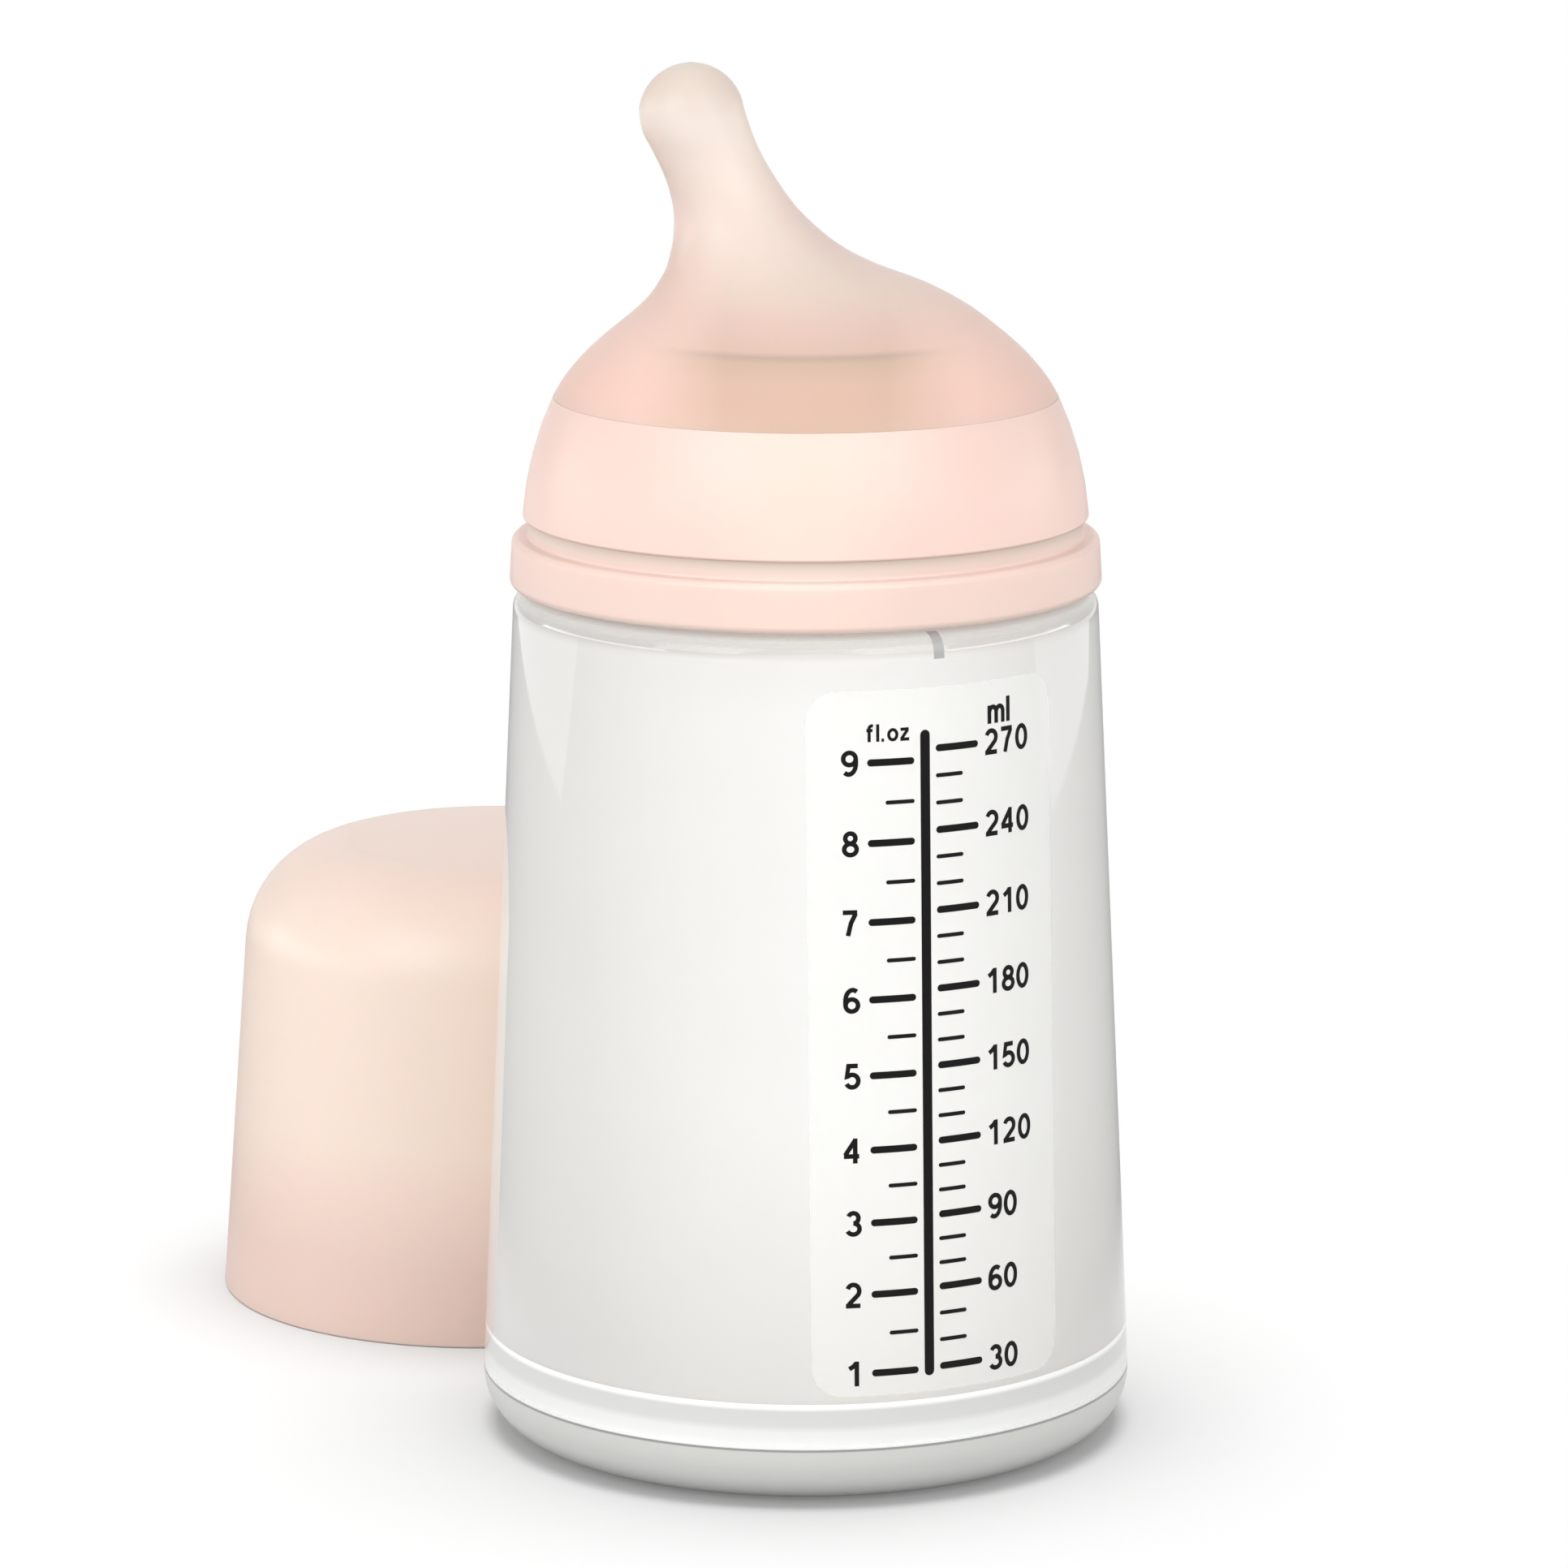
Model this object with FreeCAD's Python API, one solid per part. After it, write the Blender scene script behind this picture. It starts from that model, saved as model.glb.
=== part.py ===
"""Baby feeding bottle with a collapsing silicone liner, a leaning teat and a loose hood.

Millimetres, +Z up.  The origin is the centre of the bottle's foot, on the surface it stands on.
The teat leans towards -X and the graduated side of the bottle faces -Y.
"""
import FreeCAD
import Part

import math
import os

from FreeCAD import Vector

# Bottle wall: a straight cone that narrows towards the shoulder
WALL_RADIUS_AT_FLOOR = 38.1
WALL_TAPER = 0.0465
WALL_THICKNESS = 1.4
SEAM_HEIGHT = 7.25
SHOULDER_HEIGHT = 98.8
SHOULDER_ROUND = 2.2
SHOULDER_BORE_ROUND = 1.6
SHOULDER_THICKNESS = 1.6

# Bottle neck, which carries the liner's rim and the collar
NECK_RADIUS = 28.0
NECK_BORE_RADIUS = 26.0
NECK_TOP = 116.0
NECK_ROOT_ROUND = 1.0

# Moulded mark on the shoulder that shows where the scale is
INDEX_AZIMUTH = 26.0
INDEX_WIDTH = 1.3
INDEX_DEPTH = 0.35
INDEX_FOOT = 96.1
INDEX_TOP_RADIUS = 30.0

# Base cap: a shallow cup that snaps into the open lower end of the bottle
BASE_ROUND = 6.5
BASE_THICKNESS = 1.8
FOOT_INNER_RADIUS = 27.0
BASE_RECESS = 1.8
SPIGOT_TOP = 11.85
SPIGOT_EDGE_ROUND = 0.2
SPIGOT_THICKNESS = 1.3
SPIGOT_GAP = 0.06
SNAP_HEIGHT = 9.4
SNAP_PROUD = 0.35
SNAP_HALF_WIDTH = 0.7
SEAM_GAP = 0.05
SEAM_ROUND = 0.1
VENT_COUNT = 6
VENT_RADIUS = 1.1
VENT_CIRCLE_RADIUS = 15.0

# Liner: a silicone bag that lies against the bottle's wall when it is full
LINER_THICKNESS = 0.85
LINER_GAP = 0.2
LINER_LEDGE = 12.0
LINER_FOOT_RADIUS = 34.4
LINER_FLOOR = 7.8
LINER_FLOOR_ROUND = 4.0
LINER_RIM_THICKNESS = 0.9
LINER_RIM_RADIUS = 27.8
LINER_NECK_RADIUS = 25.8

# Collar: a threaded sleeve under a dome, with a wider ring at its foot
COLLAR_FOOT = 99.4
RING_RADIUS_LOW = 34.0
RING_RADIUS_HIGH = 33.65
RING_WALL_INNER_RADIUS = 32.6
RING_TOP = 105.0
RING_TOP_ROUND = 0.8
RING_FOOT_ROUND = 0.8
GROOVE_RADIUS = 31.7
GROOVE_TOP = 107.2
DOME_FOOT_RADIUS = 32.4
DOME_FOOT_ROUND = 0.3
DOME_MIDDLE = (31.2, 114.5)
DOME_TOP_RADIUS = 28.8
DOME_TOP = 121.0
THREAD_BORE_RADIUS = 29.4
THREAD_BORE_TOP = 112.5
FLANGE_BORE_RADIUS = 28.4
LIP_RADIUS = 25.8
LIP_TOP = 120.75
LIP_BOTTOM = 118.95
SLEEVE_FOOT = 100.6
SLEEVE_RADIUS = 31.0
POCKET_TOP = 103.4

# Teat: a round skirt gripped by the collar, drawn out into a nipple that leans to one side
FLANGE_BOTTOM = 117.0
FLANGE_TOP = 118.75
FLANGE_RADIUS = 28.0
TEAT_GROOVE_RADIUS = 25.6
SKIRT_BOTTOM = 120.95
SKIRT_RADIUS = 28.7
SKIRT_BORE_RADIUS = 23.4
SKIRT_BORE_TOP = 121.5
STEP_HEIGHT = 128.5
STEP_BORE_RADIUS = 18.8
NIPPLE_WALL = 2.0
# Level sections of the outside: height, lean of the centre towards -X, radius
TEAT_SECTIONS = (
    (121.2, 0.0, 28.7),
    (122.6, 0.0, 27.85),
    (124.2, 0.0, 26.62),
    (125.8, 0.0, 25.18),
    (127.4, 0.0, 23.45),
    (129.1, 0.0, 21.4),
    (130.6, 0.1, 19.5),
    (132.1, 0.55, 17.5),
    (133.7, 1.6, 15.3),
    (135.5, 3.5, 12.4),
    (137.3, 5.1, 10.3),
    (139.1, 6.25, 8.8),
    (142.4, 8.0, 7.05),
    (145.8, 9.65, 6.25),
    (149.0, 11.3, 6.07),
    (151.3, 12.35, 6.18),
)
TIP_LEAN = 12.93
TIP_HEIGHT = 152.95
TIP_RADIUS = 6.0
TIP_ANGLES = (8.0, 26.0, 44.0, 62.0, 76.0, 86.0)
FEED_HOLE_RADIUS = 0.45

# Hood: a thin cup that stands beside the bottle and snaps over the collar's dome
HOOD_CENTRE = (-39.4, 60.6)
HOOD_RIM_RADIUS = 33.75
HOOD_TAPER = 0.075
HOOD_EDGE_HEIGHT = 56.35
HOOD_CROWN = 1.0
HOOD_ROUND = 13.3
HOOD_THICKNESS = 1.25
HOOD_BEAD_PROUD = 0.2
HOOD_BEAD_HEIGHT = 0.75
HOOD_BEAD_HALF_WIDTH = 0.45

AXIS = Vector(0, 0, 1)
FLOOR_CENTRE = Vector(0, 0, 0)


def wall_radius(height):
    """Outer radius of the bottle's wall at a height."""
    return WALL_RADIUS_AT_FLOOR - WALL_TAPER * height


def bore_radius(height):
    """Inner radius of the bottle's wall at a height."""
    return wall_radius(height) - WALL_THICKNESS


class Outline:
    """A closed half-section in radius and height, drawn corner by corner and turned about the axis."""

    def __init__(self):
        self.corners = []

    def to(self, radius, height, blend=0.0, via=None):
        """Adds a corner, rounded by blend; via makes the side that leads to it an arc through that point."""
        self.corners.append((Vector(radius, 0, height), blend, via))
        return self

    def edges(self):
        """The sides and the rounds between them, in order."""
        count = len(self.corners)
        ends = [point for point, _, _ in self.corners]
        starts = list(ends)
        rounds = [None] * count
        for i, (point, blend, _) in enumerate(self.corners):
            if blend:
                back = (self.corners[i - 1][0] - point).normalize()
                ahead = (self.corners[(i + 1) % count][0] - point).normalize()
                half = back.getAngle(ahead) / 2
                reach = blend / math.tan(half)
                middle = (back + ahead).normalize() * (blend / math.sin(half) - blend)
                ends[i] = point + back * reach
                starts[i] = point + ahead * reach
                rounds[i] = Part.Arc(ends[i], point + middle, starts[i]).toShape()
        drawn = []
        for i in range(count):
            begin, end, via = starts[i - 1], ends[i], self.corners[i][2]
            if via:
                drawn.append(Part.Arc(begin, Vector(via[0], 0, via[1]), end).toShape())
            elif (end - begin).Length > 1e-6:
                drawn.append(Part.LineSegment(begin, end).toShape())
            if rounds[i]:
                drawn.append(rounds[i])
        return drawn

    def turned(self, angle=360.0):
        """The solid that the half-section sweeps about the bottle's axis."""
        return Part.Face(Part.Wire(self.edges())).revolve(FLOOR_CENTRE, AXIS, angle)


def snap_bead(outline, radius_at, proud, rising):
    """Adds the three corners of the bead or groove that locks the base cap into the bottle."""
    heights = [SNAP_HEIGHT - SNAP_HALF_WIDTH, SNAP_HEIGHT, SNAP_HEIGHT + SNAP_HALF_WIDTH]
    for height in heights if rising else reversed(heights):
        outline.to(radius_at(height) + (proud if height == SNAP_HEIGHT else 0.0), height)


def make_bottle_shell():
    """Clear bottle: tapered wall, rounded shoulder and neck, open at the foot for the base cap."""
    shoulder_bore = SHOULDER_HEIGHT - SHOULDER_THICKNESS
    outline = Outline()
    outline.to(wall_radius(SEAM_HEIGHT), SEAM_HEIGHT, SEAM_ROUND)
    outline.to(wall_radius(SHOULDER_HEIGHT), SHOULDER_HEIGHT, SHOULDER_ROUND)
    outline.to(NECK_RADIUS, SHOULDER_HEIGHT, NECK_ROOT_ROUND)
    outline.to(NECK_RADIUS, NECK_TOP, 0.5)
    outline.to(NECK_BORE_RADIUS, NECK_TOP, 0.5)
    outline.to(NECK_BORE_RADIUS, shoulder_bore, 0.8)
    outline.to(bore_radius(shoulder_bore), shoulder_bore, SHOULDER_BORE_ROUND)
    snap_bead(outline, bore_radius, SNAP_PROUD, rising=False)
    outline.to(bore_radius(SEAM_HEIGHT), SEAM_HEIGHT, SEAM_ROUND)
    return outline.turned().cut(make_index_mark())


def make_index_mark():
    """Cutter for the short bar that is sunk into the shoulder's round."""
    floor = SHOULDER_HEIGHT - INDEX_DEPTH
    foot_radius = wall_radius(INDEX_FOOT)
    clear_radius = WALL_RADIUS_AT_FLOOR
    clear_height = SHOULDER_HEIGHT + 1.0
    outline = Outline()
    outline.to(clear_radius, INDEX_FOOT)
    outline.to(clear_radius, clear_height)
    outline.to(INDEX_TOP_RADIUS, clear_height)
    outline.to(INDEX_TOP_RADIUS, floor)
    outline.to(wall_radius(SHOULDER_HEIGHT) - INDEX_DEPTH, floor, SHOULDER_ROUND - INDEX_DEPTH)
    outline.to(foot_radius - INDEX_DEPTH, INDEX_FOOT)
    sweep = math.degrees(INDEX_WIDTH / foot_radius)
    bar = outline.turned(sweep)
    bar.rotate(FLOOR_CENTRE, AXIS, INDEX_AZIMUTH - 90.0 - sweep / 2)
    return bar


def make_base_cap():
    """White base: rounded foot, raised underside with air vents, and a spigot with a snap bead."""
    outer = wall_radius(SEAM_HEIGHT)
    seam = SEAM_HEIGHT - SEAM_GAP
    floor_top = BASE_RECESS + BASE_THICKNESS

    def spigot_radius(height):
        return bore_radius(height) - SPIGOT_GAP

    inner = spigot_radius(SPIGOT_TOP) - SPIGOT_THICKNESS
    outline = Outline()
    outline.to(0, BASE_RECESS)
    outline.to(FOOT_INNER_RADIUS - BASE_RECESS, BASE_RECESS, 1.5)
    outline.to(FOOT_INNER_RADIUS, 0, 0.6)
    outline.to(outer, 0, BASE_ROUND)
    outline.to(outer, seam, SEAM_ROUND)
    outline.to(spigot_radius(SEAM_HEIGHT), seam)
    snap_bead(outline, spigot_radius, SNAP_PROUD, rising=True)
    outline.to(spigot_radius(SPIGOT_TOP), SPIGOT_TOP, SPIGOT_EDGE_ROUND)
    outline.to(inner, SPIGOT_TOP, 2 * SPIGOT_EDGE_ROUND)
    outline.to(inner, floor_top, 3.0)
    outline.to(0, floor_top)
    base = outline.turned()
    for i in range(VENT_COUNT):
        turn = math.radians(360.0 * i / VENT_COUNT)
        place = Vector(VENT_CIRCLE_RADIUS * math.cos(turn), VENT_CIRCLE_RADIUS * math.sin(turn), 0)
        base = base.cut(Part.makeCylinder(VENT_RADIUS, SPIGOT_TOP, place))
    return base


def make_liner_bag():
    """Silicone bag: a thin cup the shape of the bottle's inside, with a narrower foot and a rim."""
    shoulder = SHOULDER_HEIGHT - SHOULDER_THICKNESS - LINER_GAP

    def outside(height):
        return bore_radius(height) - LINER_GAP

    def inside(height):
        return outside(height) - LINER_THICKNESS

    foot_inside = LINER_FOOT_RADIUS - LINER_THICKNESS
    floor_inside = LINER_FLOOR + LINER_THICKNESS
    ledge_inside = LINER_LEDGE + LINER_THICKNESS
    shoulder_inside = shoulder - LINER_THICKNESS
    neck_inside = LINER_NECK_RADIUS - LINER_THICKNESS
    rim = NECK_TOP + 0.05
    outline = Outline()
    outline.to(0, LINER_FLOOR)
    outline.to(LINER_FOOT_RADIUS, LINER_FLOOR, LINER_FLOOR_ROUND)
    outline.to(LINER_FOOT_RADIUS, LINER_LEDGE, 0.5)
    outline.to(outside(LINER_LEDGE), LINER_LEDGE, 0.25)
    outline.to(outside(shoulder), shoulder, SHOULDER_BORE_ROUND)
    outline.to(LINER_NECK_RADIUS, shoulder, 0.9)
    outline.to(LINER_NECK_RADIUS, rim, 0.4)
    outline.to(LINER_RIM_RADIUS, rim, 0.3)
    outline.to(LINER_RIM_RADIUS, rim + LINER_RIM_THICKNESS, 0.3)
    outline.to(neck_inside, rim + LINER_RIM_THICKNESS, 0.4)
    outline.to(neck_inside, shoulder_inside, 0.9 + LINER_THICKNESS)
    outline.to(inside(shoulder_inside), shoulder_inside, SHOULDER_BORE_ROUND - LINER_THICKNESS)
    outline.to(inside(ledge_inside), ledge_inside, 0.3)
    outline.to(foot_inside, ledge_inside, 0.7)
    outline.to(foot_inside, floor_inside, LINER_FLOOR_ROUND - LINER_THICKNESS)
    outline.to(0, floor_inside)
    return outline.turned()


def make_collar():
    """Screw collar: domed top with a lip for the teat, a groove for the hood, and a cored foot ring."""
    outline = Outline()
    outline.to(RING_RADIUS_LOW, COLLAR_FOOT, RING_FOOT_ROUND)
    outline.to(RING_RADIUS_HIGH, RING_TOP, RING_TOP_ROUND)
    outline.to(GROOVE_RADIUS, RING_TOP, 0.3)
    outline.to(GROOVE_RADIUS, GROOVE_TOP, 0.2)
    outline.to(DOME_FOOT_RADIUS, GROOVE_TOP, DOME_FOOT_ROUND)
    outline.to(DOME_FOOT_RADIUS, GROOVE_TOP + DOME_FOOT_ROUND)
    outline.to(DOME_TOP_RADIUS, DOME_TOP, via=DOME_MIDDLE)
    outline.to(DOME_TOP_RADIUS - 0.25, LIP_TOP)
    outline.to(LIP_RADIUS, LIP_TOP, 0.4)
    outline.to(LIP_RADIUS, LIP_BOTTOM, 0.4)
    outline.to(FLANGE_BORE_RADIUS, LIP_BOTTOM, 0.3)
    outline.to(FLANGE_BORE_RADIUS, THREAD_BORE_TOP)
    outline.to(THREAD_BORE_RADIUS, THREAD_BORE_TOP - 1.0)
    outline.to(THREAD_BORE_RADIUS, SLEEVE_FOOT, 0.4)
    outline.to(SLEEVE_RADIUS, SLEEVE_FOOT, 0.4)
    outline.to(SLEEVE_RADIUS, POCKET_TOP, 0.6)
    outline.to(RING_WALL_INNER_RADIUS, POCKET_TOP, 0.6)
    outline.to(RING_WALL_INNER_RADIUS, COLLAR_FOOT, 0.2)
    return outline.turned()


def nipple_sections(wall):
    """Level circles up the teat and over its round tip, drawn in by the wall."""
    rows = [(height, lean, radius - wall) for height, lean, radius in TEAT_SECTIONS]
    tip = TIP_RADIUS - wall
    for angle in TIP_ANGLES:
        rise = math.radians(angle)
        rows.append((TIP_HEIGHT + tip * math.sin(rise), TIP_LEAN, tip * math.cos(rise)))
    return rows


def lofted(rows):
    """The smooth solid through level circles."""
    circles = [Part.makeCircle(radius, Vector(-lean, 0, height), AXIS) for height, lean, radius in rows]
    return Part.makeLoft([Part.Wire(circle) for circle in circles], True, False)


def make_teat():
    """Silicone teat: flange and groove for the collar's lip, a thick skirt and a thin leaning nipple."""
    skirt_top = TEAT_SECTIONS[0][0]
    grip = Outline()
    grip.to(0, FLANGE_BOTTOM)
    grip.to(FLANGE_RADIUS, FLANGE_BOTTOM, 0.3)
    grip.to(FLANGE_RADIUS, FLANGE_TOP, 0.3)
    grip.to(TEAT_GROOVE_RADIUS, FLANGE_TOP)
    grip.to(TEAT_GROOVE_RADIUS, SKIRT_BOTTOM)
    grip.to(SKIRT_RADIUS, SKIRT_BOTTOM)
    grip.to(SKIRT_RADIUS, skirt_top)
    grip.to(0, skirt_top)
    outside = grip.turned().fuse(lofted(nipple_sections(0.0)))

    skirt_bore = Outline()
    skirt_bore.to(0, FLANGE_BOTTOM - 1.0)
    skirt_bore.to(SKIRT_BORE_RADIUS, FLANGE_BOTTOM - 1.0)
    skirt_bore.to(SKIRT_BORE_RADIUS, SKIRT_BORE_TOP, 2.0)
    skirt_bore.to(STEP_BORE_RADIUS, STEP_HEIGHT)
    skirt_bore.to(0, STEP_HEIGHT)
    above_step = [row for row in nipple_sections(NIPPLE_WALL) if row[0] > STEP_HEIGHT]
    first = above_step[0]
    nipple_bore = lofted([(STEP_HEIGHT - 0.01, first[1], first[2] + 0.6)] + above_step)

    hole_foot = Vector(-TIP_LEAN, 0, TIP_HEIGHT + TIP_RADIUS - 1.5 * NIPPLE_WALL)
    feed_hole = Part.makeCylinder(FEED_HOLE_RADIUS, 2 * NIPPLE_WALL, hole_foot)
    return outside.cut(skirt_bore.turned().fuse(nipple_bore)).cut(feed_hole).removeSplitter()


def make_hood():
    """Hood: thin tapered cup with a wide round edge, a slight crown and a snap bead inside its rim."""

    def outside(height):
        return HOOD_RIM_RADIUS - HOOD_TAPER * height

    def inside(height):
        return outside(height) - HOOD_THICKNESS

    top = HOOD_EDGE_HEIGHT
    top_inside = top - HOOD_THICKNESS
    inner_round = HOOD_ROUND - HOOD_THICKNESS
    crown_edge = outside(top - HOOD_ROUND) - HOOD_ROUND
    crown_radius = (crown_edge ** 2 + HOOD_CROWN ** 2) / (2 * HOOD_CROWN)
    crown_drop = crown_radius - math.sqrt(crown_radius ** 2 - crown_edge ** 2 / 4)
    crown_middle = HOOD_CROWN - crown_drop
    outline = Outline()
    outline.to(outside(0), 0, 0.3)
    outline.to(outside(top), top, HOOD_ROUND)
    outline.to(crown_edge, top)
    outline.to(0, top + HOOD_CROWN, via=(crown_edge / 2, top + crown_middle))
    outline.to(0, top_inside + HOOD_CROWN)
    outline.to(crown_edge, top_inside, via=(crown_edge / 2, top_inside + crown_middle))
    outline.to(inside(top_inside), top_inside, inner_round)
    for step, proud in ((1, 0.0), (0, HOOD_BEAD_PROUD), (-1, 0.0)):
        height = HOOD_BEAD_HEIGHT + step * HOOD_BEAD_HALF_WIDTH
        outline.to(inside(height) - proud, height)
    outline.to(inside(0), 0, 0.15)
    hood = outline.turned()
    hood.translate(Vector(HOOD_CENTRE[0], HOOD_CENTRE[1], 0))
    return hood


MAKERS = {
    "bottle_shell": make_bottle_shell,
    "base_cap": make_base_cap,
    "liner_bag": make_liner_bag,
    "collar": make_collar,
    "teat": make_teat,
    "hood": make_hood,
}


def main():
    """Builds every piece and writes one STEP file for each."""
    os.makedirs("parts", exist_ok=True)
    for name, make in MAKERS.items():
        shape = make()
        print(name, "valid" if shape.isValid() else "INVALID", len(shape.Solids), round(shape.Volume, 1))
        shape.exportStep(os.path.join("parts", name + ".step"))


main()
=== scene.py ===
"""Looks of a baby feeding bottle: clear shell, silicone liner, vented base, collar, leaning teat and hood.

Sizes are millimetres in the row frame until a mesh is made, which is in metres.
"""
from __future__ import annotations

import logging
import math
from dataclasses import dataclass
from enum import Enum

import bmesh
import bpy
import numpy as np
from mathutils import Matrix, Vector

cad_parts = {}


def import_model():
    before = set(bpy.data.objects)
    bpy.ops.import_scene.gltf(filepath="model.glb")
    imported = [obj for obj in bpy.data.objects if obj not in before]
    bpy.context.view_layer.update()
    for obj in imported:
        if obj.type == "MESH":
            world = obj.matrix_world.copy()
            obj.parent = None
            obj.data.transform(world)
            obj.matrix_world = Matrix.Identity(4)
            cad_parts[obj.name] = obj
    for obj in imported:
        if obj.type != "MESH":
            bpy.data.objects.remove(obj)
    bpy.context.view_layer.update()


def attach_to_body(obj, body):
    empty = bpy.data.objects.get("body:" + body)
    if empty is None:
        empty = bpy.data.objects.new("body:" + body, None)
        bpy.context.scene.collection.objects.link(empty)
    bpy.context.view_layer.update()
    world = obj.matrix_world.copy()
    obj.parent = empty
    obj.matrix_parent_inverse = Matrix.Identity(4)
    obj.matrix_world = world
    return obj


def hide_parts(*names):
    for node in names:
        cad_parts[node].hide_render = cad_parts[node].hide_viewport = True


LOG = logging.getLogger("baby_bottle")
MM = 0.001
TURN = 2.0 * math.pi
SHARP_FROM = math.radians(32.0)
NOTHING = 1e-6
RING_SIDES = 160
WALL_SIDES = 320
TEAT_SIDES = 144
BOW_STEP = 12.0
LEAST_BOW_STEPS = 4
GRAIN_HEIGHT = 0.0002
MOTTLE_SCALE = 60.0
GLOSS_SCALE = 140.0

Piece = bpy.types.Object
Socket = bpy.types.NodeSocket
Flat = bmesh.types.BMesh
Pair = tuple[float, float]
RadiusHeight = tuple[float, float]
Spot = tuple[float, float, float]
Colour = tuple[float, float, float]
Bands = tuple[tuple[float, Colour], ...]
Stroke = list[tuple[float, float]]


class Body(Enum):
    """The rigid bodies that pieces ride on."""

    BOTTLE = "bottle"
    TEAT = "teat"
    COLLAR = "collar"
    HOOD = "hood"


class Slot(Enum):
    """The record's material slots."""

    CLEAR = "clear_plastic"
    WHITE = "white_plastic"
    LINER = "liner_silicone"
    PEACH = "peach_plastic"
    TEAT = "teat_silicone"
    HOOD = "hood_plastic"


class Ray(Enum):
    """The kinds of ray that ask what a surface or the backdrop shows."""

    CAMERA = "Is Camera Ray"
    SHADOW = "Is Shadow Ray"
    DIFFUSE = "Is Diffuse Ray"
    GLOSSY = "Is Glossy Ray"
    TRANSMISSION = "Is Transmission Ray"


MIRRORED = (Ray.GLOSSY, Ray.TRANSMISSION)
SEEING = (Ray.CAMERA, *MIRRORED)


def linear(colour: Colour) -> tuple[float, float, float, float]:
    """Turns a display colour into the shader's linear one.

    Args:
        colour: red, green and blue from 0 to 255.

    Returns:
        Linear red, green, blue and a full alpha.
    """
    shares = [c / 255.0 for c in colour]
    channels = [s / 12.92 if s <= 0.04045 else ((s + 0.055) / 1.055) ** 2.4 for s in shares]
    return (*channels, 1.0)


def unit(vector: np.ndarray) -> np.ndarray:
    """Returns a vector's direction, one long."""
    return vector / np.linalg.norm(vector)


def between(first: np.ndarray, last: np.ndarray, start: float, end: float, now: float) -> np.ndarray:
    """Returns where a straight run from one point to another has come to."""
    return first * (end - now) / (end - start) + last * (now - start) / (end - start)


class Outline:
    """A closed half-section in radius and height, drawn corner by corner."""

    ARC_STEP = math.radians(7.0)
    LEAST_STEPS = 3

    def __init__(self) -> None:
        """Starts with no corners."""
        self.corners: list[tuple[np.ndarray, float, RadiusHeight | None]] = []

    def to(self, radius: float, height: float, blend: float = 0.0, via: RadiusHeight | None = None) -> None:
        """Adds a corner.

        Args:
            radius: distance from the axis.
            height: height above the floor.
            blend: radius of the round at this corner.
            via: point on the arc that leads here, for a curved side.
        """
        self.corners.append((np.array((radius, height)), blend, via))

    def points(self) -> list[RadiusHeight]:
        """Works out the rounds and arcs.

        Returns:
            The whole outline as points.
        """
        count = len(self.corners)
        drawn: list[np.ndarray] = []
        for i, (corner, blend, via) in enumerate(self.corners):
            before, after = self.corners[i - 1][0], self.corners[(i + 1) % count][0]
            if via:
                drawn += self._arc(before, np.array(via), corner)[1:-1]
            if not blend:
                drawn.append(corner)
                continue
            back, ahead = unit(before - corner), unit(after - corner)
            half = math.acos(float(np.clip(back @ ahead, -1.0, 1.0))) / 2
            reach = blend / math.tan(half)
            top = corner + unit(back + ahead) * (blend / math.sin(half) - blend)
            drawn += self._arc(corner + back * reach, top, corner + ahead * reach)
        return [(float(radius), float(height)) for radius, height in drawn]

    def rings(self) -> list[Ring]:
        """Returns a level ring for each point of the outline."""
        return [Ring(radius, height) for radius, height in self.points()]

    def _arc(self, start: np.ndarray, via: np.ndarray, end: np.ndarray) -> list[np.ndarray]:
        """Draws the arc through three points.

        Args:
            start: where it begins.
            via: a point on the way.
            end: where it ends.

        Returns:
            Points along the arc, both ends included.
        """
        (ax, ay), (bx, by), (cx, cy) = start, via, end
        a, b, c = start @ start, via @ via, end @ end
        scale = 2 * (ax * (by - cy) + bx * (cy - ay) + cx * (ay - by))
        across = a * (by - cy) + b * (cy - ay) + c * (ay - by)
        up = a * (cx - bx) + b * (ax - cx) + c * (bx - ax)
        centre = np.array((across, up)) / scale
        first, mid, last = (math.atan2(p[1] - centre[1], p[0] - centre[0]) for p in (start, via, end))
        sweep = (last - first) % TURN
        if (mid - first) % TURN > sweep:
            sweep -= TURN
        radius = float(np.linalg.norm(start - centre))
        steps = max(self.LEAST_STEPS, math.ceil(abs(sweep) / self.ARC_STEP))
        angles = [first + sweep * k / steps for k in range(steps + 1)]
        return [centre + radius * np.array((math.cos(t), math.sin(t))) for t in angles]


@dataclass(frozen=True)
class Ring:
    """A level circle of a turned or leaning mesh, in millimetres."""

    radius: float
    height: float
    lean: float = 0.0


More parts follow.
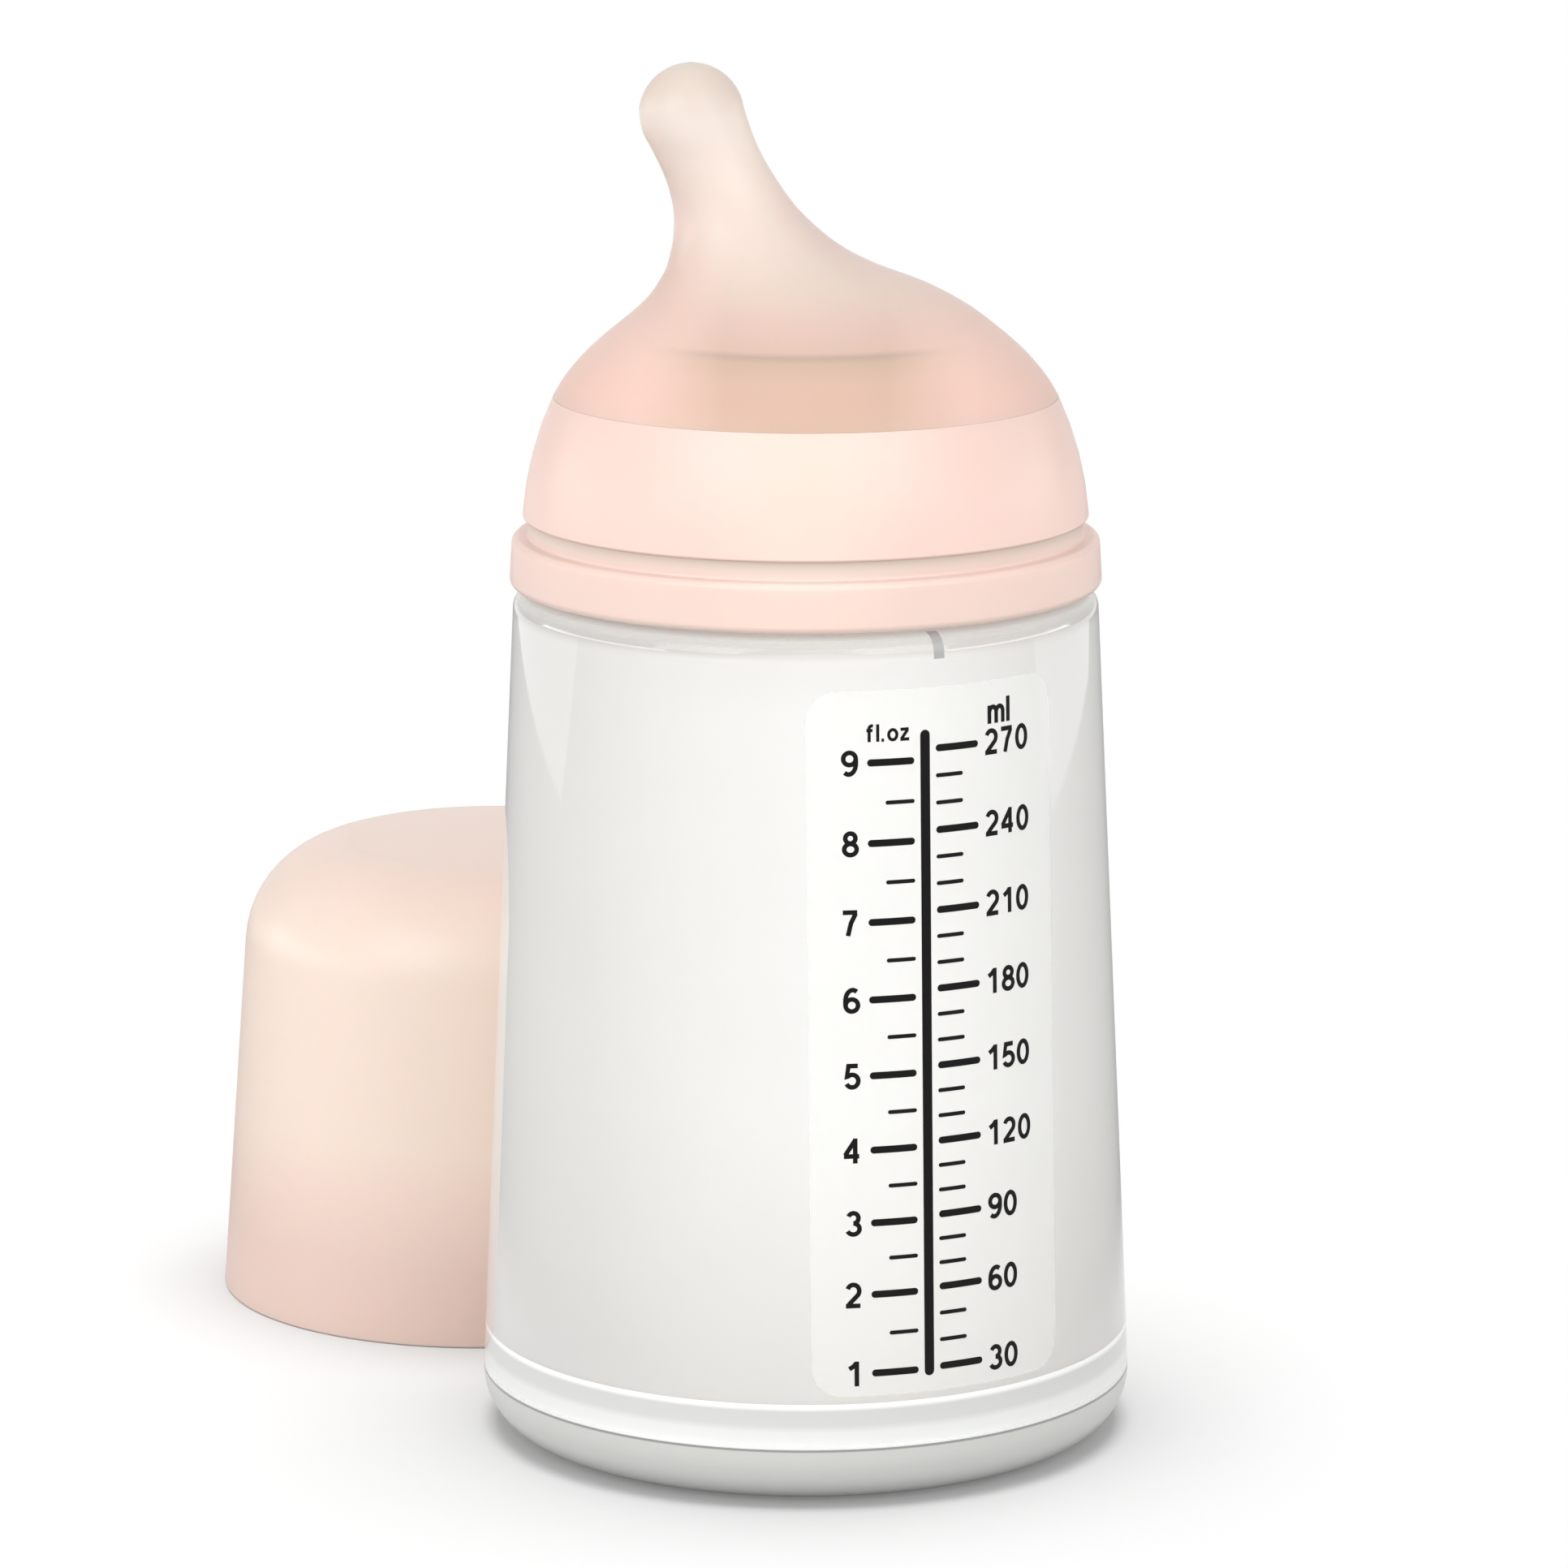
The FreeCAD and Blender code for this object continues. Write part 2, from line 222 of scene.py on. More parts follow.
def skin(
    name: str, rings: list[Ring], centre: RadiusHeight = (0.0, 0.0), segments: int = RING_SIDES
) -> Piece:
    """Makes a closed mesh around a closed loop of rings.

    Args:
        name: object name.
        rings: the loop; a ring of no radius is a point on the axis.
        centre: place of the axis on the floor.
        segments: sides of each ring.

    Returns:
        The new object, at the origin.
    """
    mesh = bmesh.new()
    angles = [TURN * k / segments for k in range(segments)]
    rows = []
    for ring in rings:
        x0, y0, z, radius = centre[0] - ring.lean, centre[1], ring.height, ring.radius
        if radius < NOTHING:
            spots = [Vector((x0, y0, z))]
        else:
            spots = [Vector((x0 + radius * math.cos(t), y0 + radius * math.sin(t), z)) for t in angles]
        rows.append([mesh.verts.new(spot * MM) for spot in spots])
    for i, low in enumerate(rows):
        high = rows[(i + 1) % len(rows)]
        for k in range(segments):
            after = (k + 1) % segments
            if len(low) > 1 and len(high) > 1:
                mesh.faces.new((low[k], low[after], high[after], high[k]))
            elif len(low) > 1:
                mesh.faces.new((low[k], low[after], high[0]))
            elif len(high) > 1:
                mesh.faces.new((low[0], high[after], high[k]))
    bmesh.ops.recalc_face_normals(mesh, faces=mesh.faces)
    return finished_object(name, mesh)


def finished_object(name: str, mesh: Flat) -> Piece:
    """Turns an edited mesh into a smooth-shaded object in the scene.

    Args:
        name: object name.
        mesh: the edited mesh, which is freed.

    Returns:
        The new object.
    """
    data = bpy.data.meshes.new(name)
    mesh.to_mesh(data)
    mesh.free()
    return smoothed(name, data)


def smoothed(name: str, data: bpy.types.Mesh) -> Piece:
    """Puts a mesh into the scene, shaded smooth with its sharp edges left crisp.

    Args:
        name: object name.
        data: the mesh.

    Returns:
        The new object.
    """
    data.polygons.foreach_set("use_smooth", [True] * len(data.polygons))
    data.set_sharp_from_angle(angle=SHARP_FROM)
    return linked(name, data)


def linked(name: str, data: bpy.types.ID) -> Piece:
    """Puts a mesh, a light or a camera into the scene.

    Args:
        name: object name.
        data: what the object shows.

    Returns:
        The new object.
    """
    obj = bpy.data.objects.new(name, data)
    bpy.context.scene.collection.objects.link(obj)
    return obj


def strips(mesh: Flat, rows: list[list[bmesh.types.BMVert]]) -> None:
    """Fills the squares between rows of points.

    Args:
        mesh: the mesh that the points are in.
        rows: rows of as many points each.
    """
    for low, high in zip(rows, rows[1:]):
        for j in range(len(low) - 1):
            mesh.faces.new((low[j], low[j + 1], high[j + 1], high[j]))


class NodeSketch:
    """Short calls for laying out nodes in a tree."""

    def __init__(self, tree: bpy.types.NodeTree) -> None:
        """Keeps the tree that nodes are added to."""
        self.tree = tree

    def add(self, kind: str, inputs: dict | None = None, **settings) -> bpy.types.Node:
        """Adds a node.

        Args:
            kind: Blender's node type.
            inputs: socket name or number to a value or to an output socket.
            settings: the node's own properties.

        Returns:
            The new node.
        """
        node = self.tree.nodes.new(kind)
        for key, value in settings.items():
            setattr(node, key, value)
        for key, value in (inputs or {}).items():
            self.feed(node.inputs[key], value)
        return node

    def feed(self, socket: Socket, value: object) -> None:
        """Links an output to a socket, or sets the socket's own value.

        Args:
            socket: the input that is fed.
            value: an output socket or a plain value.
        """
        if isinstance(value, Socket):
            self.tree.links.new(value, socket)
        else:
            socket.default_value = value

    def math(self, operation: str, a: Socket | float, b: Socket | float = 0.0) -> Socket:
        """Returns the output of a math node whose two inputs are values or sockets."""
        return self.add("ShaderNodeMath", {0: a, 1: b}, operation=operation).outputs[0]

    def chain(self, operation: str, first: Socket | float, *others: Socket | float) -> Socket:
        """Joins values and sockets by one operation, from the first on.

        Args:
            operation: the math nodes' operation.
            first: what it begins with.
            others: what is joined to it in turn.

        Returns:
            The last node's output.
        """
        for other in others:
            first = self.math(operation, first, other)
        return first

    def product(self, *factors: Socket | float) -> Socket:
        """Returns the product of values and sockets."""
        return self.chain("MULTIPLY", *factors)

    def total(self, *terms: Socket | float) -> Socket:
        """Returns the sum of values and sockets."""
        return self.chain("ADD", *terms)

    def vector(self, operation: str, *inputs: Socket | Spot, output: str = "Vector") -> Socket:
        """Returns an output of a vector math node whose inputs are values or sockets."""
        return self.add("ShaderNodeVectorMath", dict(enumerate(inputs)), operation=operation).outputs[output]

    def axes(self, vector: Socket) -> list[Socket]:
        """Returns a vector's three parts."""
        return list(self.add("ShaderNodeSeparateXYZ", {0: vector}).outputs)

    def remap(self, value: Socket, start: Pair = (0.0, 1.0), end: Pair = (0.0, 1.0), **settings) -> Socket:
        """Returns a value carried from one span to another, and held at its ends."""
        ends = {"From Min": start[0], "From Max": start[1], "To Min": end[0], "To Max": end[1]}
        return self.add("ShaderNodeMapRange", {"Value": value, **ends}, **settings).outputs["Result"]

    def noise(self, place: Socket, scale: float, detail: float) -> Socket:
        """Returns a noise drawn on some coordinates."""
        drawn = {"Vector": place, "Scale": scale, "Detail": detail}
        return self.add("ShaderNodeTexNoise", drawn).outputs["Fac"]

    def blend(self, share: Socket, first: Socket | tuple, second: Socket | tuple) -> Socket:
        """Mixes two colours.

        Args:
            share: how much of the second shows.
            first: a colour or its socket.
            second: a colour or its socket.

        Returns:
            The mixed colour's socket.
        """
        mix = self.add("ShaderNodeMix", data_type="RGBA")
        for name, value in (("Factor", share), ("A", first), ("B", second)):
            self.feed(mix.inputs[name], value)
        return mix.outputs["Result"]

    def is_ray(self, *kinds: Ray) -> Socket:
        """Returns 1 for a ray of any of these kinds, and 0 for others."""
        path = self.add("ShaderNodeLightPath").outputs
        return self.chain("MAXIMUM", *(path[kind.value] for kind in kinds))


class SurfaceSketch(NodeSketch):
    """A material's tree, with the object coordinates that its patterns are drawn on."""

    def __init__(self, material: bpy.types.Material) -> None:
        """Empties the material's tree.

        Args:
            material: what is drawn.
        """
        material.use_nodes = True
        material.node_tree.nodes.clear()
        super().__init__(material.node_tree)
        self.place = self.add("ShaderNodeTexCoord").outputs["Object"]

    def end(self, surface: Socket) -> None:
        """Ends the tree with the finished surface."""
        self.add("ShaderNodeOutputMaterial", {"Surface": surface})

    def mixed(self, share: Socket, first: Socket, second: Socket) -> Socket:
        """Returns a mix of two shaders."""
        return self.add("ShaderNodeMixShader", {0: share, 1: first, 2: second}).outputs[0]


@dataclass(frozen=True)
class Finish:
    """A surface: colour, gloss and the fine grain that breaks both up."""

    name: str
    colour: Colour
    roughness: float = 0.4
    roughness_spread: float = 0.08
    grain_scale: float = 900.0
    grain_depth: float = 0.02
    mottle: float = 0.01
    ior: float = 1.5
    transmission: float = 0.0
    subsurface: float = 0.0
    subsurface_reach: Colour = (1.0, 0.6, 0.4)
    subsurface_scale: float = 0.002
    cover: float = 1.0
    passing: float = 0.0

    def material(self) -> bpy.types.Material:
        """Makes the finish's material the first time it is asked for.

        Returns:
            The material.
        """
        made = bpy.data.materials.get(self.name)
        if made:
            return made
        made = bpy.data.materials.new(self.name)
        sketch = SurfaceSketch(made)
        shader = sketch.add("ShaderNodeBsdfPrincipled")
        shader.inputs["IOR"].default_value = self.ior
        shader.inputs["Alpha"].default_value = self.cover
        shader.inputs["Subsurface Weight"].default_value = self.subsurface
        shader.inputs["Subsurface Radius"].default_value = self.subsurface_reach
        shader.inputs["Subsurface Scale"].default_value = self.subsurface_scale
        sketch.feed(shader.inputs["Base Color"], self.mottled(sketch))
        sketch.feed(shader.inputs["Roughness"], self.gloss(sketch))
        sketch.feed(shader.inputs["Transmission Weight"], self.clearness(sketch))
        sketch.feed(shader.inputs["Normal"], self.grain(sketch))
        sketch.end(self.surface(sketch, shader.outputs[0]))
        return made

    def surface(self, sketch: SurfaceSketch, shader: Socket) -> Socket:
        """Lets a share of the light rays pass straight through.

        Args:
            sketch: the material's tree.
            shader: the finish's own shader.

        Returns:
            The whole surface's socket.
        """
        if not self.passing:
            return shader
        share = sketch.product(sketch.is_ray(Ray.SHADOW, Ray.DIFFUSE), self.passing)
        return sketch.mixed(share, shader, sketch.add("ShaderNodeBsdfTransparent").outputs[0])

    def clearness(self, sketch: SurfaceSketch) -> Socket | float:
        """Returns how much light passes through, which for most finishes is the same all over."""
        return self.transmission

    def tone(self, sketch: SurfaceSketch) -> Socket | Colour:
        """Returns the plain colour, which for most finishes is the same all over."""
        return linear(self.colour)[:3]

    def mottled(self, sketch: SurfaceSketch) -> Socket:
        """Mottles the colour faintly.

        Args:
            sketch: the material's tree.

        Returns:
            The colour's socket.
        """
        noise = sketch.noise(sketch.place, MOTTLE_SCALE, detail=3.0)
        share = sketch.remap(noise, end=(1.0 + self.mottle, 1.0 - self.mottle))
        spread = {0: self.tone(sketch), "Scale": share}
        return sketch.add("ShaderNodeVectorMath", spread, operation="SCALE").outputs["Vector"]

    def gloss(self, sketch: SurfaceSketch) -> Socket:
        """Lets the roughness wander a little over the surface.

        Args:
            sketch: the material's tree.

        Returns:
            The roughness's socket.
        """
        noise = sketch.noise(sketch.place, GLOSS_SCALE, detail=4.0)
        half = self.roughness_spread / 2
        return sketch.remap(noise, end=(self.roughness - half, self.roughness + half))

    def grain(self, sketch: SurfaceSketch) -> Socket:
        """Returns a normal with the finish's fine grain."""
        return self.bumped(sketch, sketch.place, self.grain_depth)

    def bumped(self, sketch: SurfaceSketch, place: Socket, strength: Socket | float) -> Socket:
        """Draws grains on the surface.

        Args:
            sketch: the material's tree.
            place: the coordinates that they are drawn on.
            strength: how strong they are.

        Returns:
            The normal's socket.
        """
        grains = sketch.noise(place, self.grain_scale, detail=2.0)
        bump = {"Height": grains, "Strength": strength, "Distance": GRAIN_HEIGHT}
        return sketch.add("ShaderNodeBump", bump).outputs["Normal"]


@dataclass(frozen=True)
class SheerFinish(Finish):
    """A thin or clear layer that lets the lamps reach what is behind it."""

    passing: float = 1.0


@dataclass(frozen=True)
class ClearFinish(SheerFinish):
    """A clear wall, frosted from a height upwards."""

    frost_height: float = 98.4
    frost_blend: float = 1.3
    frost_roughness: float = 0.25
    frost_depth: float = 0.3
    frost_milk: float = 0.65
    frost_colour: Colour = (236, 238, 234)
    speckle_radius: float = 33.0
    speckle_squeeze: float = 0.12

    def frost(self, sketch: SurfaceSketch, most: float) -> Socket:
        """Returns a value that is nothing on the clear wall and most on the frosted part."""
        edge = ((self.frost_height - self.frost_blend) * MM, self.frost_height * MM)
        return sketch.remap(sketch.axes(sketch.place)[2], edge, (0.0, most))

    def tone(self, sketch: SurfaceSketch) -> Socket:
        """Returns the wall's colour, a little greyer where it is frosted."""
        return sketch.blend(self.frost(sketch, 1.0), linear(self.colour), linear(self.frost_colour))

    def gloss(self, sketch: SurfaceSketch) -> Socket:
        """Returns the wall's roughness with the frost added."""
        return sketch.total(super().gloss(sketch), self.frost(sketch, self.frost_roughness))

    def clearness(self, sketch: SurfaceSketch) -> Socket:
        """Returns full clearness on the wall and a milky share where it is frosted."""
        return sketch.math("SUBTRACT", self.transmission, self.frost(sketch, self.frost_milk))

    def grain(self, sketch: SurfaceSketch) -> Socket:
        """Draws grains that run out from the axis, strong only where the wall is frosted.

        Args:
            sketch: the material's tree.

        Returns:
            The normal's socket.
        """
        x, y, z = sketch.axes(sketch.place)
        around = sketch.product(sketch.math("ARCTAN2", y, x), self.speckle_radius * MM)
        out = sketch.math("SQRT", sketch.total(sketch.product(x, x), sketch.product(y, y)))
        spot = {0: around, 1: sketch.product(out, self.speckle_squeeze), 2: z}
        place = sketch.add("ShaderNodeCombineXYZ", spot).outputs[0]
        speckle = sketch.total(self.frost(sketch, self.frost_depth), self.grain_depth)
        return self.bumped(sketch, place, speckle)


class Aside(Enum):
    """What tells where a finish's painted side shade takes over from its middle."""

    PLACE = "distance from the bottle's axis to the left or right"
    FACING = "how far the surface turns to the left or right"


@dataclass(frozen=True)
class SideTone:
    """Painted side shade: colours by height that take over towards the left and right, where the light falls
    differently.
    """

    measure: Aside
    begin: float
    full: float
    bands: Bands
    middle: float = 0.0

    def share(self, sketch: SurfaceSketch) -> Socket:
        """Works out how far the painted side shade has taken over.

        Args:
            sketch: the material's tree.

        Returns:
            A socket that goes from 0 to 1.
        """
        way, scale = sketch.place, MM
        if self.measure is Aside.FACING:
            normal = sketch.add("ShaderNodeTexCoord").outputs["Normal"]
            way, scale = sketch.vector("NORMALIZE", sketch.vector("MULTIPLY", normal, (1.0, 1.0, 0.0))), 1.0
        aside = sketch.math("ABSOLUTE", sketch.math("SUBTRACT", sketch.axes(way)[0], self.middle * scale))
        return sketch.remap(aside, (self.begin * scale, self.full * scale))


@dataclass(frozen=True)
class BandedFinish(Finish):
    """A finish whose colour changes with height: on most parts painted shade and light, on the teat also a
    wall that grows thick or thin.
    """

    # bands paint shade and light by height; sides hold the painted side shades.
    bands: Bands = ()
    sides: tuple[SideTone, ...] = ()

    def tone(self, sketch: SurfaceSketch) -> Socket:
        """Blends the colours from one height to the next, and to the painted side shades away from the
        middle.

        Args:
            sketch: the material's tree.

        Returns:
            The colour's socket.
        """
        shown = self.ramp(sketch, self.bands)
        for side in self.sides:
            shown = sketch.blend(side.share(sketch), shown, self.ramp(sketch, side.bands))
        return shown

    def ramp(self, sketch: SurfaceSketch, bands: Bands) -> Socket:
        """Blends one set of colours by height.

        Args:
            sketch: the material's tree.
            bands: heights and their colours, from the lowest up.

        Returns:
            The colour's socket.
        """
        low, high = bands[0][0], bands[-1][0]
        share = sketch.remap(sketch.axes(sketch.place)[2], (low * MM, high * MM))
        ramp = sketch.add("ShaderNodeValToRGB", {"Fac": share})
        elements = ramp.color_ramp.elements
        elements.remove(elements[1])
        elements[0].color = linear(bands[0][1])
        for level, colour in bands[1:]:
            elements.new((level - low) / (high - low)).color = linear(colour)
        return ramp.outputs["Color"]


CLEAR = ClearFinish(
    "clear_wall", (255, 255, 255), roughness=0.04, roughness_spread=0.03, grain_scale=3200.0,
    grain_depth=0.004, mottle=0.0, ior=1.49, transmission=1.0,
)
# Liner: painted shade, darker towards the bottom, darker under the collar at the shoulder, and darker towards
# the left and right sides.
FROSTED = BandedFinish(
    "frosted_liner", (250, 250, 246), roughness=0.5, roughness_spread=0.12, grain_scale=1400.0,
    grain_depth=0.06, mottle=0.02, ior=1.41,
    subsurface=0.3, subsurface_reach=(1.0, 1.0, 0.95), subsurface_scale=0.003,
    bands=(
        (12.0, (228, 226, 221)), (26.0, (239, 237, 232)), (45.0, (249, 248, 244)), (90.0, (249, 248, 244)),
        (95.4, (243, 242, 238)), (96.8, (222, 221, 217)),
    ),
    sides=(
        SideTone(Aside.PLACE, 5.0, 31.0, (
            (12.0, (220, 218, 215)), (26.0, (227, 226, 222)), (45.0, (232, 231, 227)),
            (95.4, (232, 231, 227)), (96.8, (200, 199, 196)),
        ), middle=6.5),
    ),
)
# Base: painted light, lighter towards the floor on the rounded foot; a grey line at the seam; painted light,
# a brighter band above the seam, and a painted highlight, a white line along the spigot's top edge.
WHITE = BandedFinish(
    "white_base", (212, 213, 210), roughness=0.32, roughness_spread=0.06, grain_scale=700.0,
    bands=(
        (0.0, (250, 250, 248)), (2.0, (228, 228, 226)), (4.5, (212, 212, 209)), (6.8, (208, 208, 205)),
        (6.9, (150, 151, 149)), (7.1, (150, 151, 149)), (7.17, (231, 232, 230)), (8.8, (231, 232, 230)),
        (9.6, (215, 216, 213)), (11.2, (214, 215, 212)), (11.65, (255, 255, 255)),
    ),
)
# Collar: a painted highlight along the ring's top edge, painted shade in the groove under the dome's edge,
# and painted shade towards the left and right sides.
PEACH = BandedFinish(
    "peach_collar", (247, 217, 205), roughness=0.38, roughness_spread=0.06, grain_depth=0.015,
    subsurface=0.15, subsurface_reach=(1.0, 0.5, 0.35), subsurface_scale=0.0015, passing=0.7,
    bands=(
        (99.0, (245, 217, 205)), (103.8, (245, 217, 205)), (104.7, (245, 222, 211)),
        (105.2, (243, 219, 208)), (105.9, (236, 216, 205)), (107.1, (218, 199, 187)),
        (107.3, (249, 219, 206)), (122.0, (249, 219, 206)),
    ),
    sides=(
        SideTone(Aside.PLACE, 3.0, 12.0, (
            (99.0, (241, 216, 205)), (105.2, (241, 212, 201)), (105.9, (236, 214, 203)),
            (107.1, (218, 199, 187)), (107.3, (243, 212, 201)), (122.0, (243, 212, 201)),
        )),
    ),
)
# Nipple colours by height: painted shade and light, paler up the nipple and darker over the tip.
TEAT_UPPER: Bands = (
    (146.4, (236, 220, 210)), (150.2, (237, 222, 213)), (153.0, (232, 219, 211)), (156.0, (220, 206, 196)),
    (160.0, (214, 201, 188)),
)
# Teat: in the middle the skirt below the inner step is darker, partly the thick wall and partly painted
# shade, with a painted shadow line under the step; the colours above are painted shade and light. The side
# shades paint that darker skirt fading out to the left and right, and paint darker, pinker edges where the
# surface turns to the left or right.
SILICONE = BandedFinish(
    "soft_silicone", (246, 216, 202), roughness=0.36, grain_scale=800.0, ior=1.41,
    subsurface=0.35, subsurface_reach=(1.0, 0.5, 0.3), subsurface_scale=0.003,
    bands=(
        (117.0, (213, 181, 162)), (126.0, (214, 182, 165)), (127.9, (204, 178, 160)),
        (128.4, (190, 166, 150)), (128.9, (214, 186, 171)), (131.0, (219, 189, 178)),
        (135.0, (224, 203, 190)), (138.8, (228, 209, 199)), (142.6, (231, 213, 203)), *TEAT_UPPER,
    ),
    sides=(
        SideTone(Aside.PLACE, 9.0, 19.0, (
            (117.0, (236, 199, 186)), (135.0, (241, 212, 199)), (138.8, (234, 211, 200)),
            (142.6, (233, 214, 204)), *TEAT_UPPER,
        )),
        SideTone(Aside.FACING, 0.55, 1.0, (
            (117.0, (236, 199, 186)), (123.0, (236, 200, 187)), (127.5, (233, 199, 186)),
            (131.0, (231, 197, 185)), (135.0, (227, 198, 186)), (138.8, (227, 201, 190)),
            (142.6, (232, 208, 198)), (146.4, (238, 216, 205)), (150.2, (243, 224, 212)),
            (153.0, (240, 222, 210)), (156.0, (226, 209, 197)), (160.0, (214, 201, 188)),
        )),
    ),
)
# Hood: painted shade, darker and pinker towards the rim at the bottom and a little darker over the crown.
HOOD_TINT = BandedFinish(
    "hood_tint", (255, 228, 214), roughness=0.35, grain_depth=0.015, ior=1.49, transmission=0.03,
    subsurface=0.4,
    bands=(
        (0.0, (236, 206, 194)), (9.0, (239, 209, 198)), (24.0, (255, 228, 214)), (48.0, (255, 228, 214)),
        (57.0, (255, 224, 211)),
    ),
)
INK = SheerFinish(
    "scale_ink", (22, 21, 21), roughness=0.62, roughness_spread=0.1, grain_scale=1200.0, grain_depth=0.03,
    mottle=0.02, ior=1.25,
)
PANEL_WHITE = SheerFinish("panel_white", (254, 254, 251), grain_depth=0.01, ior=1.45, cover=0.26)
INDEX_TONE = SheerFinish(
    "index_tone", (176, 177, 176), roughness=0.3, roughness_spread=0.06, grain_scale=800.0,
)


class NodeShape:
    """A geometry-node tree with named inputs, run once and kept as a plain mesh."""

    def __init__(self, name: str) -> None:
        """Starts an empty tree.

        Args:
            name: the tree's name, which the mesh takes too.
        """
        self.name = name
        self.tree = bpy.data.node_groups.new(name, "GeometryNodeTree")
        self.sketch = NodeSketch(self.tree)
        self.tree.interface.new_socket("Geometry", in_out="OUTPUT", socket_type="NodeSocketGeometry")
        self.tree.interface.new_socket("Geometry", in_out="INPUT", socket_type="NodeSocketGeometry")
        self.entry = self.sketch.add("NodeGroupInput")
        self.values: dict[str, object] = {}

    def number(self, name: str, value: float, whole: bool = False) -> Socket:
        """Adds a named input.

        Args:
            name: the input's name.
            value: what it is set to.
            whole: whether it counts something.

        Returns:
            The input's socket inside the tree.
        """
        kind = "NodeSocketInt" if whole else "NodeSocketFloat"
        made = self.tree.interface.new_socket(name, in_out="INPUT", socket_type=kind)
        self.values[made.identifier] = value
        return self.entry.outputs[name]

    def node(self, kind: str, inputs: dict | None = None, **settings) -> Socket:
        """Returns the first output of a new geometry node, named without its prefix."""
        return self.sketch.add("GeometryNode" + kind, inputs, **settings).outputs[0]

    def mesh(self, result: Socket, finish: Finish, carrier: Piece | None = None) -> Piece:
        """Ends the tree, runs it and keeps what it makes.

        Args:
            result: the geometry to keep.
            finish: the surface it gets.
            carrier: an object whose own mesh goes into the tree, and which is removed.

        Returns:
            A plain mesh object.
        """
        real = self.sketch.add("GeometryNodeRealizeInstances", {0: result})
        dressed = self.sketch.add("GeometryNodeSetMaterial", {"Geometry": real.outputs[0]})
        dressed.inputs["Material"].default_value = finish.material()
        self.sketch.add("NodeGroupOutput", {0: dressed.outputs[0]})
        host = carrier or linked(self.name + "_host", bpy.data.meshes.new(self.name + "_host"))
        modifier = host.modifiers.new(self.name, "NODES")
        modifier.node_group = self.tree
        for identifier, value in self.values.items():
            modifier[identifier] = value
        graph = bpy.context.evaluated_depsgraph_get()
        data = bpy.data.meshes.new_from_object(host.evaluated_get(graph))
        host.modifiers.clear()
        bpy.data.objects.remove(host)
        data.name = self.name
        return smoothed(self.name, data)


def attach(obj: Piece, body: Body, finish: Finish | None = None, node: str | None = None) -> None:
    """Dresses a piece and ties it to the frame.

    Args:
        obj: the piece.
        body: what it moves with.
        finish: its surface, unless it has one already.
        node: the CAD node that it stands for.
    """
    if finish:
        obj.data.materials.clear()
        obj.data.materials.append(finish.material())
    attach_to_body(obj, body.value)
    if node:
        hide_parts(node)
    LOG.info("%s rides on %s, %d faces", obj.name, body.value, len(obj.data.polygons))


@dataclass
class Thread:
    """A helical rib, right-handed, on the outside of a neck or, with a negative depth, inside a sleeve."""

    name: str
    root_radius: float
    depth: float
    first_height: float
    start_angle: float = 0.0
    pitch: float = 6.0
    turns: float = 1.25
    root_width: float = 2.2
    crest_width: float = 1.0
    run_outs: float = 14.0
    points: int = 160

    def build(self, finish: Finish) -> Piece:
        """Makes the rib, which runs out at both ends.

        Args:
            finish: its surface.

        Returns:
            The rib's mesh.
        """
        shape = NodeShape(self.name)
        sketch = shape.sketch
        turns = shape.number("Turns", self.turns)
        radius = shape.number("Root radius", self.root_radius * MM)
        pitch = shape.number("Pitch", self.pitch * MM)
        depth = shape.number("Depth", self.depth * MM)
        path = shape.node("MeshLine", {"Count": self.points})
        share = sketch.math("DIVIDE", shape.node("InputIndex"), self.points - 1.0)
        angle = sketch.total(sketch.product(share, turns, TURN), self.start_angle)
        from_end = sketch.math("MINIMUM", share, sketch.math("SUBTRACT", 1.0, share))
        fade = sketch.math("MINIMUM", sketch.product(from_end, self.run_outs), 1.0)
        height = sketch.total(sketch.product(share, sketch.product(turns, pitch)), self.first_height * MM)
        spot = sketch.add("ShaderNodeCombineXYZ", {
            0: sketch.product(radius, sketch.math("COSINE", angle)),
            1: sketch.product(radius, sketch.math("SINE", angle)),
            2: height,
        })
        placed = shape.node("SetPosition", {"Geometry": path, "Position": spot.outputs[0]})
        upright = shape.node("SetCurveNormal", {0: shape.node("MeshToCurve", {0: placed})}, mode="Z_UP")
        tapered = shape.node("SetCurveRadius", {0: upright, "Radius": fade})
        form = sketch.add("GeometryNodeCurvePrimitiveQuadrilateral", mode="TRAPEZOID")
        sketch.feed(form.inputs["Height"], sketch.math("ABSOLUTE", depth))
        form.inputs["Bottom Width"].default_value = self.root_width * MM
        form.inputs["Top Width"].default_value = self.crest_width * MM
        form.inputs["Offset"].default_value = 0.0
        quarter = math.copysign(TURN / 4, -self.depth)
        profile = shape.node("Transform", {"Geometry": form.outputs[0], "Rotation": (0.0, 0.0, quarter)})
        rib = shape.node("CurveToMesh", {"Curve": tapered, "Profile Curve": profile, "Fill Caps": True})
        return shape.mesh(rib, finish)


